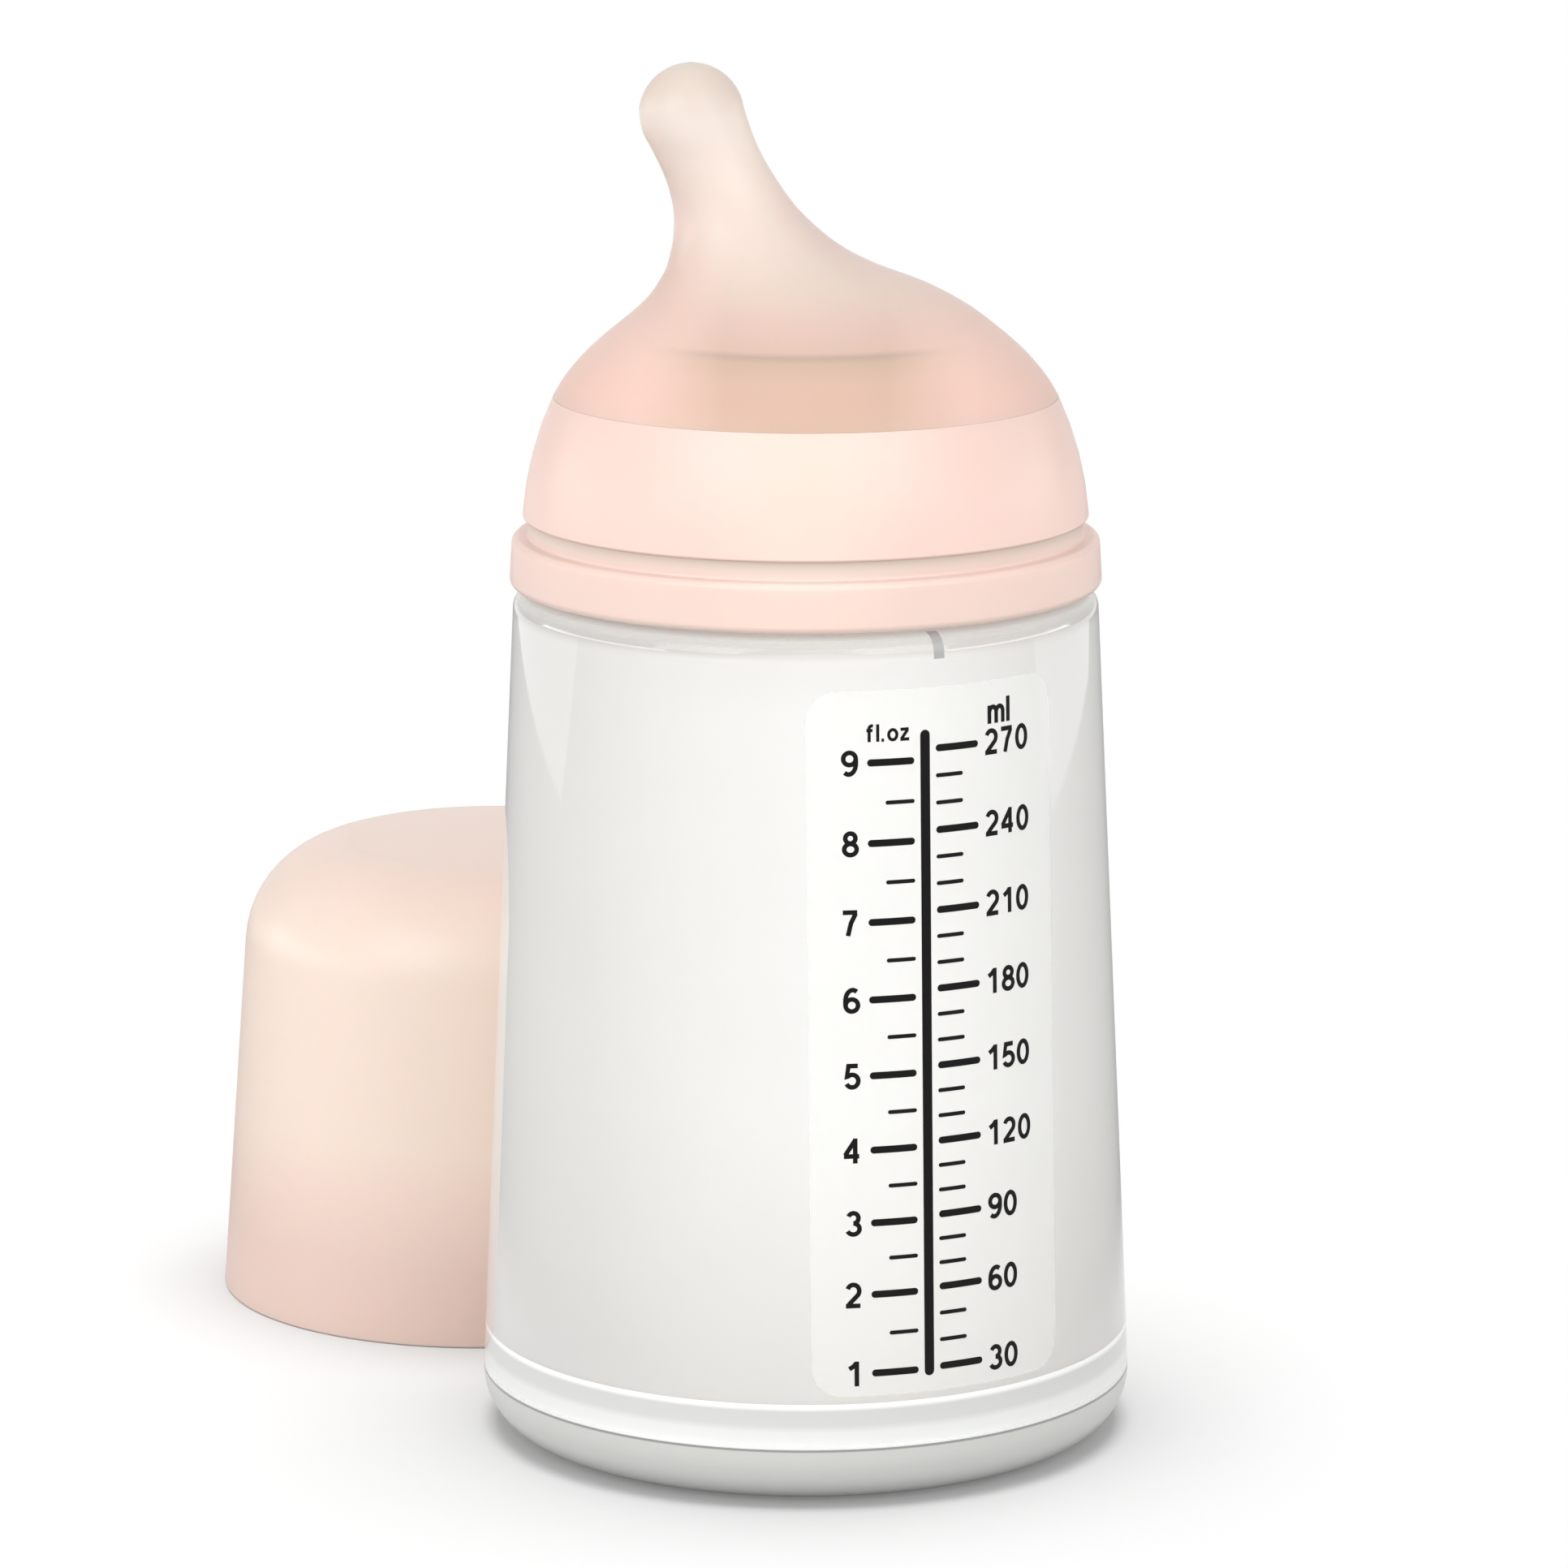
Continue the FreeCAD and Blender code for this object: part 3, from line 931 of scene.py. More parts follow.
@dataclass
class BottleShell:
    """Clear bottle: tapered wall, rounded shoulder and threaded neck."""

    wall_radius_at_floor: float = 38.1
    wall_taper: float = 0.0465
    wall_thickness: float = 1.4
    seam_height: float = 7.25
    shoulder_height: float = 98.8
    shoulder_round: float = 2.2
    shoulder_bore_round: float = 1.6
    shoulder_thickness: float = 1.6
    neck_radius: float = 28.0
    neck_bore_radius: float = 26.0
    neck_top: float = 116.0
    neck_root_round: float = 1.0
    neck_top_round: float = 0.5
    neck_bore_round: float = 0.8
    thread_bite: float = 0.05
    thread_depth: float = 1.1
    thread_foot: float = 103.6
    index_azimuth: float = 26.0
    index_width: float = 1.3
    index_foot: float = 96.1
    index_proud: float = 0.02
    index_reach: float = 2.0
    liner_touch: float = 0.22

    def outer(self, height: float) -> float:
        """Returns the wall's outer radius at a height."""
        return self.wall_radius_at_floor - self.wall_taper * height

    def inner(self, height: float) -> float:
        """Returns the wall's inner radius at a height."""
        return self.outer(height) - self.wall_thickness

    def build(self) -> None:
        """Makes the shell, whose bore touches the liner, its neck thread and the index mark."""
        touch = self.liner_touch
        bore_top = self.shoulder_height - self.shoulder_thickness - touch
        neck_bore = self.neck_bore_radius - touch
        outline = Outline()
        outline.to(self.outer(self.seam_height), self.seam_height)
        outline.to(self.outer(self.shoulder_height), self.shoulder_height, self.shoulder_round)
        outline.to(self.neck_radius, self.shoulder_height, self.neck_root_round)
        outline.to(self.neck_radius, self.neck_top, self.neck_top_round)
        outline.to(neck_bore, self.neck_top, self.neck_top_round)
        outline.to(neck_bore, bore_top, self.neck_bore_round)
        outline.to(self.inner(bore_top) - touch, bore_top, self.shoulder_bore_round)
        outline.to(self.inner(self.seam_height) - touch, self.seam_height)
        wall = skin("bottle_wall", outline.rings(), segments=WALL_SIDES)
        attach(wall, Body.BOTTLE, CLEAR, "bottle_shell")
        root = self.neck_radius - self.thread_bite
        thread = Thread("neck_thread", root, self.thread_depth, self.thread_foot)
        attach(thread.build(CLEAR), Body.BOTTLE)
        attach(self.index_mark(), Body.BOTTLE, INDEX_TONE)

    def index_mark(self) -> Piece:
        """Draws the short bar that runs over the shoulder above the scale.

        Returns:
            The bar.
        """
        proud = self.index_proud
        top = self.shoulder_height + proud
        outline = Outline()
        outline.to(self.outer(self.index_foot) + proud, self.index_foot)
        outline.to(self.outer(top) + proud, top, self.shoulder_round + proud)
        outline.to(self.neck_radius + self.index_reach, top)
        middle = math.radians(self.index_azimuth)
        mesh = bmesh.new()
        rows = []
        for radius, height in outline.points()[:-1]:
            half = self.index_width / 2 / radius
            sides = (middle - half, middle + half)
            ends = [Vector((radius * math.sin(t), -radius * math.cos(t), height)) for t in sides]
            rows.append([mesh.verts.new(end * MM) for end in ends])
        strips(mesh, rows)
        return finished_object("index_mark", mesh)


def bow(x: float, y: float, across: float, up: float, first: float, last: float) -> Stroke:
    """Draws part of an oval.

    Args:
        x: middle of the oval.
        y: middle of the oval.
        across: half its width.
        up: half its height.
        first: angle in degrees that the stroke starts at.
        last: angle in degrees that it ends at.

    Returns:
        The stroke's points.
    """
    steps = max(LEAST_BOW_STEPS, round(abs(last - first) / BOW_STEP))
    angles = [math.radians(first + (last - first) * k / steps) for k in range(steps + 1)]
    return [(x + across * math.cos(t), y + up * math.sin(t)) for t in angles]


class Lettering:
    """Plain figures and unit letters, drawn as strokes of one width in a cell one high."""

    STROKE = 0.185
    SPACE = 0.1
    FIGURE_WIDTH = 0.66
    LEAST_MITRE = 0.6
    FIGURES: dict[str, list[Stroke]] = {
        "0": [bow(0.33, 0.5, 0.25, 0.425, 90, 450)],
        "1": [[(0.4, 0.0), (0.4, 1.0)], [(0.38, 0.93), (0.26, 0.8), (0.1, 0.7)]],
        "2": [
            bow(0.32, 0.67, 0.235, 0.255, 160, -42) + [(0.2, 0.2), (0.1, 0.08)],
            [(0.02, 0.075), (0.6, 0.075)],
        ],
        "3": [bow(0.31, 0.72, 0.205, 0.205, 158, -90), bow(0.31, 0.295, 0.245, 0.22, 90, -158)],
        "4": [[(0.46, 0.0), (0.46, 1.0)], [(0.44, 0.9), (0.06, 0.33)], [(0.01, 0.285), (0.62, 0.285)]],
        "5": [[(0.54, 0.925), (0.17, 0.925), (0.1, 0.5)] + bow(0.31, 0.325, 0.245, 0.25, 130, -155)],
        "6": [
            bow(0.36, 0.5, 0.285, 0.425, 55, 180) + [(0.075, 0.33)],
            bow(0.325, 0.315, 0.245, 0.24, 180, 540),
        ],
        "7": [[(0.03, 0.925), (0.6, 0.925)], [(0.54, 0.88), (0.35, 0.5), (0.23, 0.0)]],
        "8": [bow(0.33, 0.73, 0.2, 0.195, 90, 450), bow(0.33, 0.295, 0.245, 0.22, 90, 450)],
        "9": [bow(0.3, 0.5, 0.285, 0.425, -125, 0) + [(0.585, 0.67)], bow(0.335, 0.685, 0.245, 0.24, 0, 360)],
        "m": [
            [(0.08, 0.0), (0.08, 0.72)],
            bow(0.255, 0.45, 0.165, 0.2, 170, 0) + [(0.42, 0.0)],
            bow(0.595, 0.45, 0.165, 0.2, 170, 0) + [(0.76, 0.0)],
        ],
        "l": [[(0.08, 0.0), (0.08, 1.0)]],
        "f": [
            [(0.16, 0.0), (0.16, 0.78)] + bow(0.33, 0.78, 0.17, 0.145, 180, 70),
            [(0.0, 0.66), (0.36, 0.66)],
        ],
        "o": [bow(0.32, 0.36, 0.24, 0.29, 90, 450)],
        "z": [[(0.03, 0.645), (0.52, 0.645)], [(0.46, 0.6), (0.08, 0.1)], [(0.02, 0.07), (0.55, 0.07)]],
        ".": [[(0.02, 0.08), (0.18, 0.08)]],
    }

    def width(self, text: str) -> float:
        """Returns how far a text runs, its spaces included."""
        return sum(self.reach(sign) + self.SPACE for sign in text) - self.SPACE

    def reach(self, sign: str) -> float:
        """Returns the width of one figure's cell."""
        widest = max(x for stroke in self.FIGURES[sign] for x, _ in stroke) + self.STROKE / 2
        return max(widest, self.FIGURE_WIDTH) if sign.isdigit() else widest

    def flat(self, text: str) -> Flat:
        """Draws a text with its foot on the ground line.

        Args:
            text: what is drawn.

        Returns:
            Flat faces, in cell heights.
        """
        mesh = bmesh.new()
        start = 0.0
        for sign in text:
            for stroke in self.FIGURES[sign]:
                self.ribbon(mesh, [(start + x, y) for x, y in stroke])
            start += self.reach(sign) + self.SPACE
        return mesh

    def ribbon(self, mesh: Flat, stroke: Stroke) -> None:
        """Lays one stroke down as a strip of faces.

        Args:
            mesh: the mesh it goes into.
            stroke: points along its middle; a stroke that comes back to its start is closed.
        """
        apart = [math.dist(*ends) > NOTHING for ends in zip(stroke, stroke[1:])]
        path = np.array([stroke[0], *(spot for spot, away in zip(stroke[1:], apart) if away)])
        closed = bool(np.allclose(path[0], path[-1]))
        steps = np.diff(path, axis=0)
        steps /= np.linalg.norm(steps, axis=1)[:, None]
        before = np.vstack((steps[-1] if closed else steps[0], steps))
        after = np.vstack((steps, steps[0] if closed else steps[-1]))
        along = before + after
        along /= np.linalg.norm(along, axis=1)[:, None]
        spread = self.STROKE / 2 / np.maximum((along * after).sum(axis=1), self.LEAST_MITRE)
        side = np.column_stack((-along[:, 1], along[:, 0])) * spread[:, None]
        strips(mesh, [[mesh.verts.new((*spot, 0.0)) for spot in (p + n, p - n)] for p, n in zip(path, side)])


class Side(Enum):
    """The side of the scale's line that something stands on."""

    LEFT = -1.0
    RIGHT = 1.0


@dataclass
class VolumeScale:
    """Printed marks and numbers that give the volume, wrapped on the bottle's wall."""

    wall: BottleShell
    line_azimuth: float = 21.81
    line_lean: float = 0.0136
    line_width: float = 1.15
    line_foot: float = 15.0
    line_top: float = 88.3
    line_end_steps: int = 8
    numbers: int = 9
    first_height: float = 15.94
    first_step: float = 9.15
    step: float = 8.27
    step_growth: float = 0.15
    step_volume: float = 30.0
    ounce: float = 29.574
    step_marks: int = 3
    ounce_marks: int = 2
    side_gap: float = 1.3
    long_mark: float = 5.45
    short_mark: float = 3.4
    long_width: float = 0.8
    short_width: float = 0.46
    end_round: float = 0.49
    end_points: int = 5
    bar_cuts: int = 5
    ink_depth: float = 0.04
    ink_foot: float = 0.016
    digit_height: float = 2.85
    number_gap: float = 0.95
    ounce_number_gap: float = 1.0
    unit_rise: float = 2.0
    unit_gap: float = 1.4
    ounce_unit_height: float = 1.95
    ounce_unit_rise: float = 1.15
    ounce_unit_gap: float = 0.4
    panel: tuple[float, float, float, float] = (-13.6, 18.0, 13.2, 93.0)
    panel_round: float = 3.5
    panel_lift: float = 0.012
    panel_levels: int = 40
    panel_columns: int = 64

    def height_of(self, volume: float) -> float:
        """Works out where a volume is marked.

        Args:
            volume: millilitres.

        Returns:
            The mark's height.
        """
        count = volume / self.step_volume - 1.0
        if count < 1.0:
            return self.first_height + self.first_step * count
        more = count - 1.0
        grown = self.step_growth * more * (more - 1.0) / 2
        return self.first_height + self.first_step + self.step * more + grown

    def wrap(self, across: float, height: float, depth: float) -> Vector:
        """Lays a flat point on the wall.

        Args:
            across: distance to the right of the scale's line.
            height: height above the floor.
            depth: height above the wall's surface.

        Returns:
            The point in metres.
        """
        radius = self.wall.outer(height)
        azimuth = self.line_azimuth + self.line_lean * (height - self.line_foot)
        angle = math.radians(azimuth) + across / radius
        return Vector(((radius + depth) * math.sin(angle), -(radius + depth) * math.cos(angle), height)) * MM

    def build(self) -> None:
        """Prints the line, both rows of marks, the numbers and the unit signs."""
        pieces = [
            self.line(),
            self.marks("millilitre_marks", self.step_volume, self.step_marks, Side.RIGHT),
            self.marks("ounce_marks", self.ounce, self.ounce_marks, Side.LEFT),
        ]
        far = self.side_gap + self.long_mark
        size = self.digit_height
        for number in range(1, self.numbers + 1):
            volume = number * self.step_volume
            foot, ounce_foot = (self.height_of(v) - size / 2 for v in (volume, number * self.ounce))
            pieces.append(self.sign(f"{volume:.0f}", far + self.number_gap, foot, Side.RIGHT, size))
            pieces.append(self.sign(str(number), far + self.ounce_number_gap, ounce_foot, Side.LEFT, size))
        top = self.height_of(self.numbers * self.step_volume)
        pieces.append(self.sign("ml", far + self.unit_gap, top + self.unit_rise, Side.RIGHT, size))
        ounce_gap, ounce_foot = self.side_gap + self.ounce_unit_gap, top + self.ounce_unit_rise
        pieces.append(self.sign("fl.oz", ounce_gap, ounce_foot, Side.LEFT, self.ounce_unit_height))
        mesh = bmesh.new()
        for piece in pieces:
            mesh.from_mesh(piece.data)
            bpy.data.objects.remove(piece)
        bmesh.ops.recalc_face_normals(mesh, faces=mesh.faces)
        attach(finished_object("volume_scale", mesh), Body.BOTTLE, INK)
        attach(self.ground(), Body.BOTTLE, PANEL_WHITE)

    def ground(self) -> Piece:
        """Lays the pale rounded panel that the scale is printed on.

        Returns:
            The panel.
        """
        left, right, foot, top = self.panel
        mesh = bmesh.new()
        rows = []
        for k in range(self.panel_levels + 1):
            height = foot + (top - foot) * (1.0 - math.cos(math.pi * k / self.panel_levels)) / 2
            short = max(self.panel_round - min(height - foot, top - height), 0.0)
            inset = self.panel_round - math.sqrt(self.panel_round**2 - short**2)
            width = right - left - 2 * inset
            spots = [left + inset + width * j / self.panel_columns for j in range(self.panel_columns + 1)]
            rows.append([mesh.verts.new(self.wrap(across, height, self.panel_lift)) for across in spots])
        strips(mesh, rows)
        return finished_object("scale_panel", mesh)

    def line(self) -> Piece:
        """Prints the upright line that the marks stand on.

        Returns:
            The line.
        """
        half = self.line_width / 2
        mesh = bmesh.new()
        edge = []
        for centre, first in ((self.line_foot + half, math.pi), (self.line_top - half, 0.0)):
            for k in range(self.line_end_steps + 1):
                t = first + math.pi * k / self.line_end_steps
                edge.append(mesh.verts.new((half * math.cos(t), centre + half * math.sin(t), 0.0)))
        mesh.faces.new(edge)
        return self.printed("scale_line", mesh)

    def printed(self, name: str, mesh: Flat) -> Piece:
        """Gives flat ink its depth and wraps it on the wall.

        Args:
            name: object name.
            mesh: flat faces in millimetres, across and up.

        Returns:
            The wrapped object.
        """
        made = bmesh.ops.extrude_face_region(mesh, geom=mesh.faces[:])
        raised = {v for v in made["geom"] if isinstance(v, bmesh.types.BMVert)}
        for vert in mesh.verts:
            vert.co = self.wrap(vert.co.x, vert.co.y, self.ink_depth if vert in raised else self.ink_foot)
        return finished_object(name, mesh)

    def sign(self, text: str, gap: float, foot: float, side: Side, size: float) -> Piece:
        """Prints a number or a unit.

        Args:
            text: what is printed.
            gap: how far from the line its nearer end is.
            foot: height of the text's ground line.
            side: the side of the line it stands on.
            size: height of the figures.

        Returns:
            The printed object.
        """
        lettering = Lettering()
        mesh = lettering.flat(text)
        start = gap if side is Side.RIGHT else -gap - size * lettering.width(text)
        for vert in mesh.verts:
            vert.co = Vector((start + size * vert.co.x, foot + size * vert.co.y, 0.0))
        return self.printed("sign_" + text, mesh)

    def marks(self, name: str, volume: float, per_number: int, side: Side) -> Piece:
        """Prints one row of marks, long at the numbers and short between them.

        Args:
            name: the row's name.
            volume: volume from one number to the next, and at the first.
            per_number: marks from one number to the next.
            side: the side of the line they stand on.

        Returns:
            The printed row.
        """
        shape = NodeShape(name)
        sketch = shape.sketch
        count = shape.number("Marks", (self.numbers - 1) * per_number + 1, whole=True)
        first = shape.number("First volume", volume)
        each = shape.number("Volume step", volume / per_number)
        every = shape.number("Marks per number", per_number, whole=True)
        line = shape.node("MeshLine", {"Count": count})
        index = shape.node("InputIndex")
        marked = sketch.total(first, sketch.product(index, each))
        steps = sketch.math("SUBTRACT", sketch.math("DIVIDE", marked, self.step_volume), 1.0)
        low = sketch.product(sketch.math("MINIMUM", steps, 1.0), self.first_step)
        more = sketch.math("MAXIMUM", sketch.math("SUBTRACT", steps, 1.0), 0.0)
        grown = sketch.product(more, sketch.math("SUBTRACT", more, 1.0), self.step_growth / 2)
        high = sketch.total(sketch.product(more, self.step), grown)
        height = sketch.total(low, high, self.first_height)
        is_long = sketch.math("LESS_THAN", sketch.math("MODULO", index, every), 0.5)
        joined = sketch.add("GeometryNodeJoinGeometry")
        for chosen, length, width in (
            (is_long, self.long_mark, self.long_width),
            (sketch.math("SUBTRACT", 1.0, is_long), self.short_mark, self.short_width),
        ):
            bar = shape.node("CurvePrimitiveQuadrilateral", {"Width": length, "Height": width})
            ends = {"Curve": bar, "Radius": width * self.end_round, "Count": self.end_points}
            rounded = shape.node("FilletCurve", ends, mode="POLY")
            fine = shape.node("SubdivideCurve", {"Curve": rounded, "Cuts": self.bar_cuts})
            across = side.value * (self.side_gap + length / 2)
            spot = sketch.add("ShaderNodeCombineXYZ", {0: across, 1: height}).outputs[0]
            spots = shape.node("SetPosition", {"Geometry": line, "Position": spot})
            flat = shape.node("FillCurve", {"Curve": fine})
            placed = {"Points": spots, "Selection": chosen, "Instance": flat}
            sketch.feed(joined.inputs[0], shape.node("InstanceOnPoints", placed))
        row = shape.mesh(joined.outputs[0], INK)
        mesh = bmesh.new()
        mesh.from_mesh(row.data)
        bpy.data.objects.remove(row)
        return self.printed(name, mesh)


@dataclass
class LinerBag:
    """Milky silicone bag that lies against the bottle's inside and hangs from its neck."""

    wall: BottleShell
    thickness: float = 0.85
    gap: float = 0.2
    ledge: float = 12.0
    ledge_round: float = 0.5
    ledge_inner_rounds: Pair = (0.3, 0.7)
    foot_radius: float = 34.4
    floor: float = 7.8
    floor_round: float = 4.0
    rim_thickness: float = 0.9
    rim_radius: float = 27.8
    rim_lift: float = 0.05
    rim_round: float = 0.3
    neck_radius: float = 25.8
    neck_root_round: float = 0.9
    neck_top_round: float = 0.4

    def inside(self, height: float) -> float:
        """Returns the bag's inner radius at a height."""
        return self.wall.inner(height) - self.gap - self.thickness

    def build(self) -> None:
        """Makes the bag."""
        wall = self.wall
        shoulder = wall.shoulder_height - wall.shoulder_thickness - self.gap
        shoulder_round = wall.shoulder_bore_round
        under_shoulder = shoulder - self.thickness
        floor_top = self.floor + self.thickness
        ledge_top = self.ledge + self.thickness
        foot_inside = self.foot_radius - self.thickness
        bore = self.neck_radius - self.thickness
        rim = wall.neck_top + self.rim_lift
        rim_top = rim + self.rim_thickness
        outline = Outline()
        outline.to(0.0, self.floor)
        outline.to(self.foot_radius, self.floor, self.floor_round)
        outline.to(self.foot_radius, self.ledge, self.ledge_round)
        outline.to(wall.inner(self.ledge) - self.gap, self.ledge)
        outline.to(wall.inner(shoulder) - self.gap, shoulder, shoulder_round)
        outline.to(self.neck_radius, shoulder, self.neck_root_round)
        outline.to(self.neck_radius, rim, self.neck_top_round)
        outline.to(self.rim_radius, rim, self.rim_round)
        outline.to(self.rim_radius, rim_top, self.rim_round)
        outline.to(bore, rim_top, self.neck_top_round)
        outline.to(bore, under_shoulder, self.neck_root_round + self.thickness)
        outline.to(self.inside(under_shoulder), under_shoulder, shoulder_round - self.thickness)
        outline.to(self.inside(ledge_top), ledge_top, self.ledge_inner_rounds[0])
        outline.to(foot_inside, ledge_top, self.ledge_inner_rounds[1])
        outline.to(foot_inside, floor_top, self.floor_round - self.thickness)
        outline.to(0.0, floor_top)
        attach(skin("liner", outline.rings()), Body.BOTTLE, FROSTED, "liner_bag")


@dataclass
class BaseCap:
    """White base with a rounded foot, a spigot inside the wall and air vents in its raised underside."""

    wall: BottleShell
    edge_round: float = 6.5
    thickness: float = 1.8
    foot_inner_radius: float = 27.0
    foot_round: float = 0.6
    recess: float = 1.8
    recess_round: float = 1.5
    floor_round: float = 3.0
    seam_gap: float = 0.05
    seam_round: float = 0.1
    spigot_top: float = 12.0
    spigot_thickness: float = 1.3
    spigot_gap: float = 0.06
    spigot_rounds: Pair = (0.05, 0.4)
    vents: int = 6
    vent_radius: float = 1.1
    vent_circle: float = 15.0
    drill_length: float = 30.0
    drill_sides: int = 24

    def build(self) -> None:
        """Makes the base and drills its vents."""
        wall = self.wall
        outer = wall.outer(wall.seam_height)
        seam = wall.seam_height - self.seam_gap
        spigot_high = wall.inner(self.spigot_top) - self.spigot_gap
        inner = spigot_high - self.spigot_thickness
        floor_top = self.recess + self.thickness
        outline = Outline()
        outline.to(0.0, self.recess)
        outline.to(self.foot_inner_radius - self.recess, self.recess, self.recess_round)
        outline.to(self.foot_inner_radius, 0.0, self.foot_round)
        outline.to(outer, 0.0, self.edge_round)
        outline.to(outer, seam, self.seam_round)
        outline.to(wall.inner(wall.seam_height) - self.spigot_gap, seam)
        outline.to(spigot_high, self.spigot_top, self.spigot_rounds[0])
        outline.to(inner, self.spigot_top, self.spigot_rounds[1])
        outline.to(inner, floor_top, self.floor_round)
        outline.to(0.0, floor_top)
        attach(self.drilled(skin("base_blank", outline.rings())), Body.BOTTLE, None, "base_cap")

    def drilled(self, blank: Piece) -> Piece:
        """Cuts the ring of vents.

        Args:
            blank: the base without them, which is used up.

        Returns:
            The finished base.
        """
        shape = NodeShape("base")
        count = shape.number("Vents", self.vents, whole=True)
        circle = shape.number("Vent circle", self.vent_circle * MM)
        radius = shape.number("Vent radius", self.vent_radius * MM)
        ring = shape.node("MeshCircle", {"Vertices": count, "Radius": circle})
        form = {"Vertices": self.drill_sides, "Radius": radius, "Depth": self.drill_length * MM}
        drill = shape.node("MeshCylinder", form)
        drills = shape.node("InstanceOnPoints", {"Points": ring, "Instance": drill})
        cut = shape.sketch.add("GeometryNodeMeshBoolean", operation="DIFFERENCE", solver="EXACT")
        shape.sketch.feed(cut.inputs["Mesh 1"], shape.entry.outputs["Geometry"])
        shape.sketch.feed(cut.inputs["Mesh 2"], drills)
        return shape.mesh(cut.outputs[0], WHITE, blank)


@dataclass
class Collar:
    """Screw collar: a dome over a threaded sleeve, a groove for the hood and a wider foot ring."""

    foot: float = 99.4
    ring_low: float = 34.0
    ring_high: float = 33.65
    ring_inner: float = 32.6
    ring_inner_round: float = 0.2
    ring_top: float = 105.0
    ring_round: float = 0.8
    groove_radius: float = 31.7
    groove_top: float = 107.2
    groove_rounds: Pair = (0.3, 0.2)
    dome_foot_radius: float = 32.4
    dome_foot_round: float = 0.3
    dome_middle: RadiusHeight = (31.2, 114.5)
    dome_top_radius: float = 28.8
    dome_top: float = 121.0
    thread_bore: float = 29.4
    thread_bore_top: float = 112.5
    thread_bore_slope: float = 1.0
    thread_bite: float = 0.05
    thread_depth: float = 1.0
    thread_foot: float = 102.6
    thread_start: float = math.pi * 0.9
    flange_bore: float = 28.4
    flange_round: float = 0.3
    lip_radius: float = 25.8
    lip_top: float = 120.75
    lip_bottom: float = 118.95
    lip_step: float = 0.25
    lip_round: float = 0.4
    sleeve_foot: float = 100.6
    sleeve_radius: float = 31.0
    sleeve_round: float = 0.4
    pocket_top: float = 103.4
    pocket_round: float = 0.6

    def build(self) -> None:
        """Makes the collar and its inner thread."""
        outline = Outline()
        outline.to(self.ring_low, self.foot, self.ring_round)
        outline.to(self.ring_high, self.ring_top, self.ring_round)
        outline.to(self.groove_radius, self.ring_top, self.groove_rounds[0])
        outline.to(self.groove_radius, self.groove_top, self.groove_rounds[1])
        outline.to(self.dome_foot_radius, self.groove_top, self.dome_foot_round)
        outline.to(self.dome_foot_radius, self.groove_top + self.dome_foot_round)
        outline.to(self.dome_top_radius, self.dome_top, via=self.dome_middle)
        outline.to(self.dome_top_radius - self.lip_step, self.lip_top)
        outline.to(self.lip_radius, self.lip_top, self.lip_round)
        outline.to(self.lip_radius, self.lip_bottom, self.lip_round)
        outline.to(self.flange_bore, self.lip_bottom, self.flange_round)
        outline.to(self.flange_bore, self.thread_bore_top)
        outline.to(self.thread_bore, self.thread_bore_top - self.thread_bore_slope)
        outline.to(self.thread_bore, self.sleeve_foot, self.sleeve_round)
        outline.to(self.sleeve_radius, self.sleeve_foot, self.sleeve_round)
        outline.to(self.sleeve_radius, self.pocket_top, self.pocket_round)
        outline.to(self.ring_inner, self.pocket_top, self.pocket_round)
        outline.to(self.ring_inner, self.foot, self.ring_inner_round)
        attach(skin("collar_dome", outline.rings()), Body.COLLAR, PEACH, "collar")
        root = self.thread_bore + self.thread_bite
        thread = Thread("collar_thread", root, -self.thread_depth, self.thread_foot, self.thread_start)
        attach(thread.build(PEACH), Body.COLLAR)


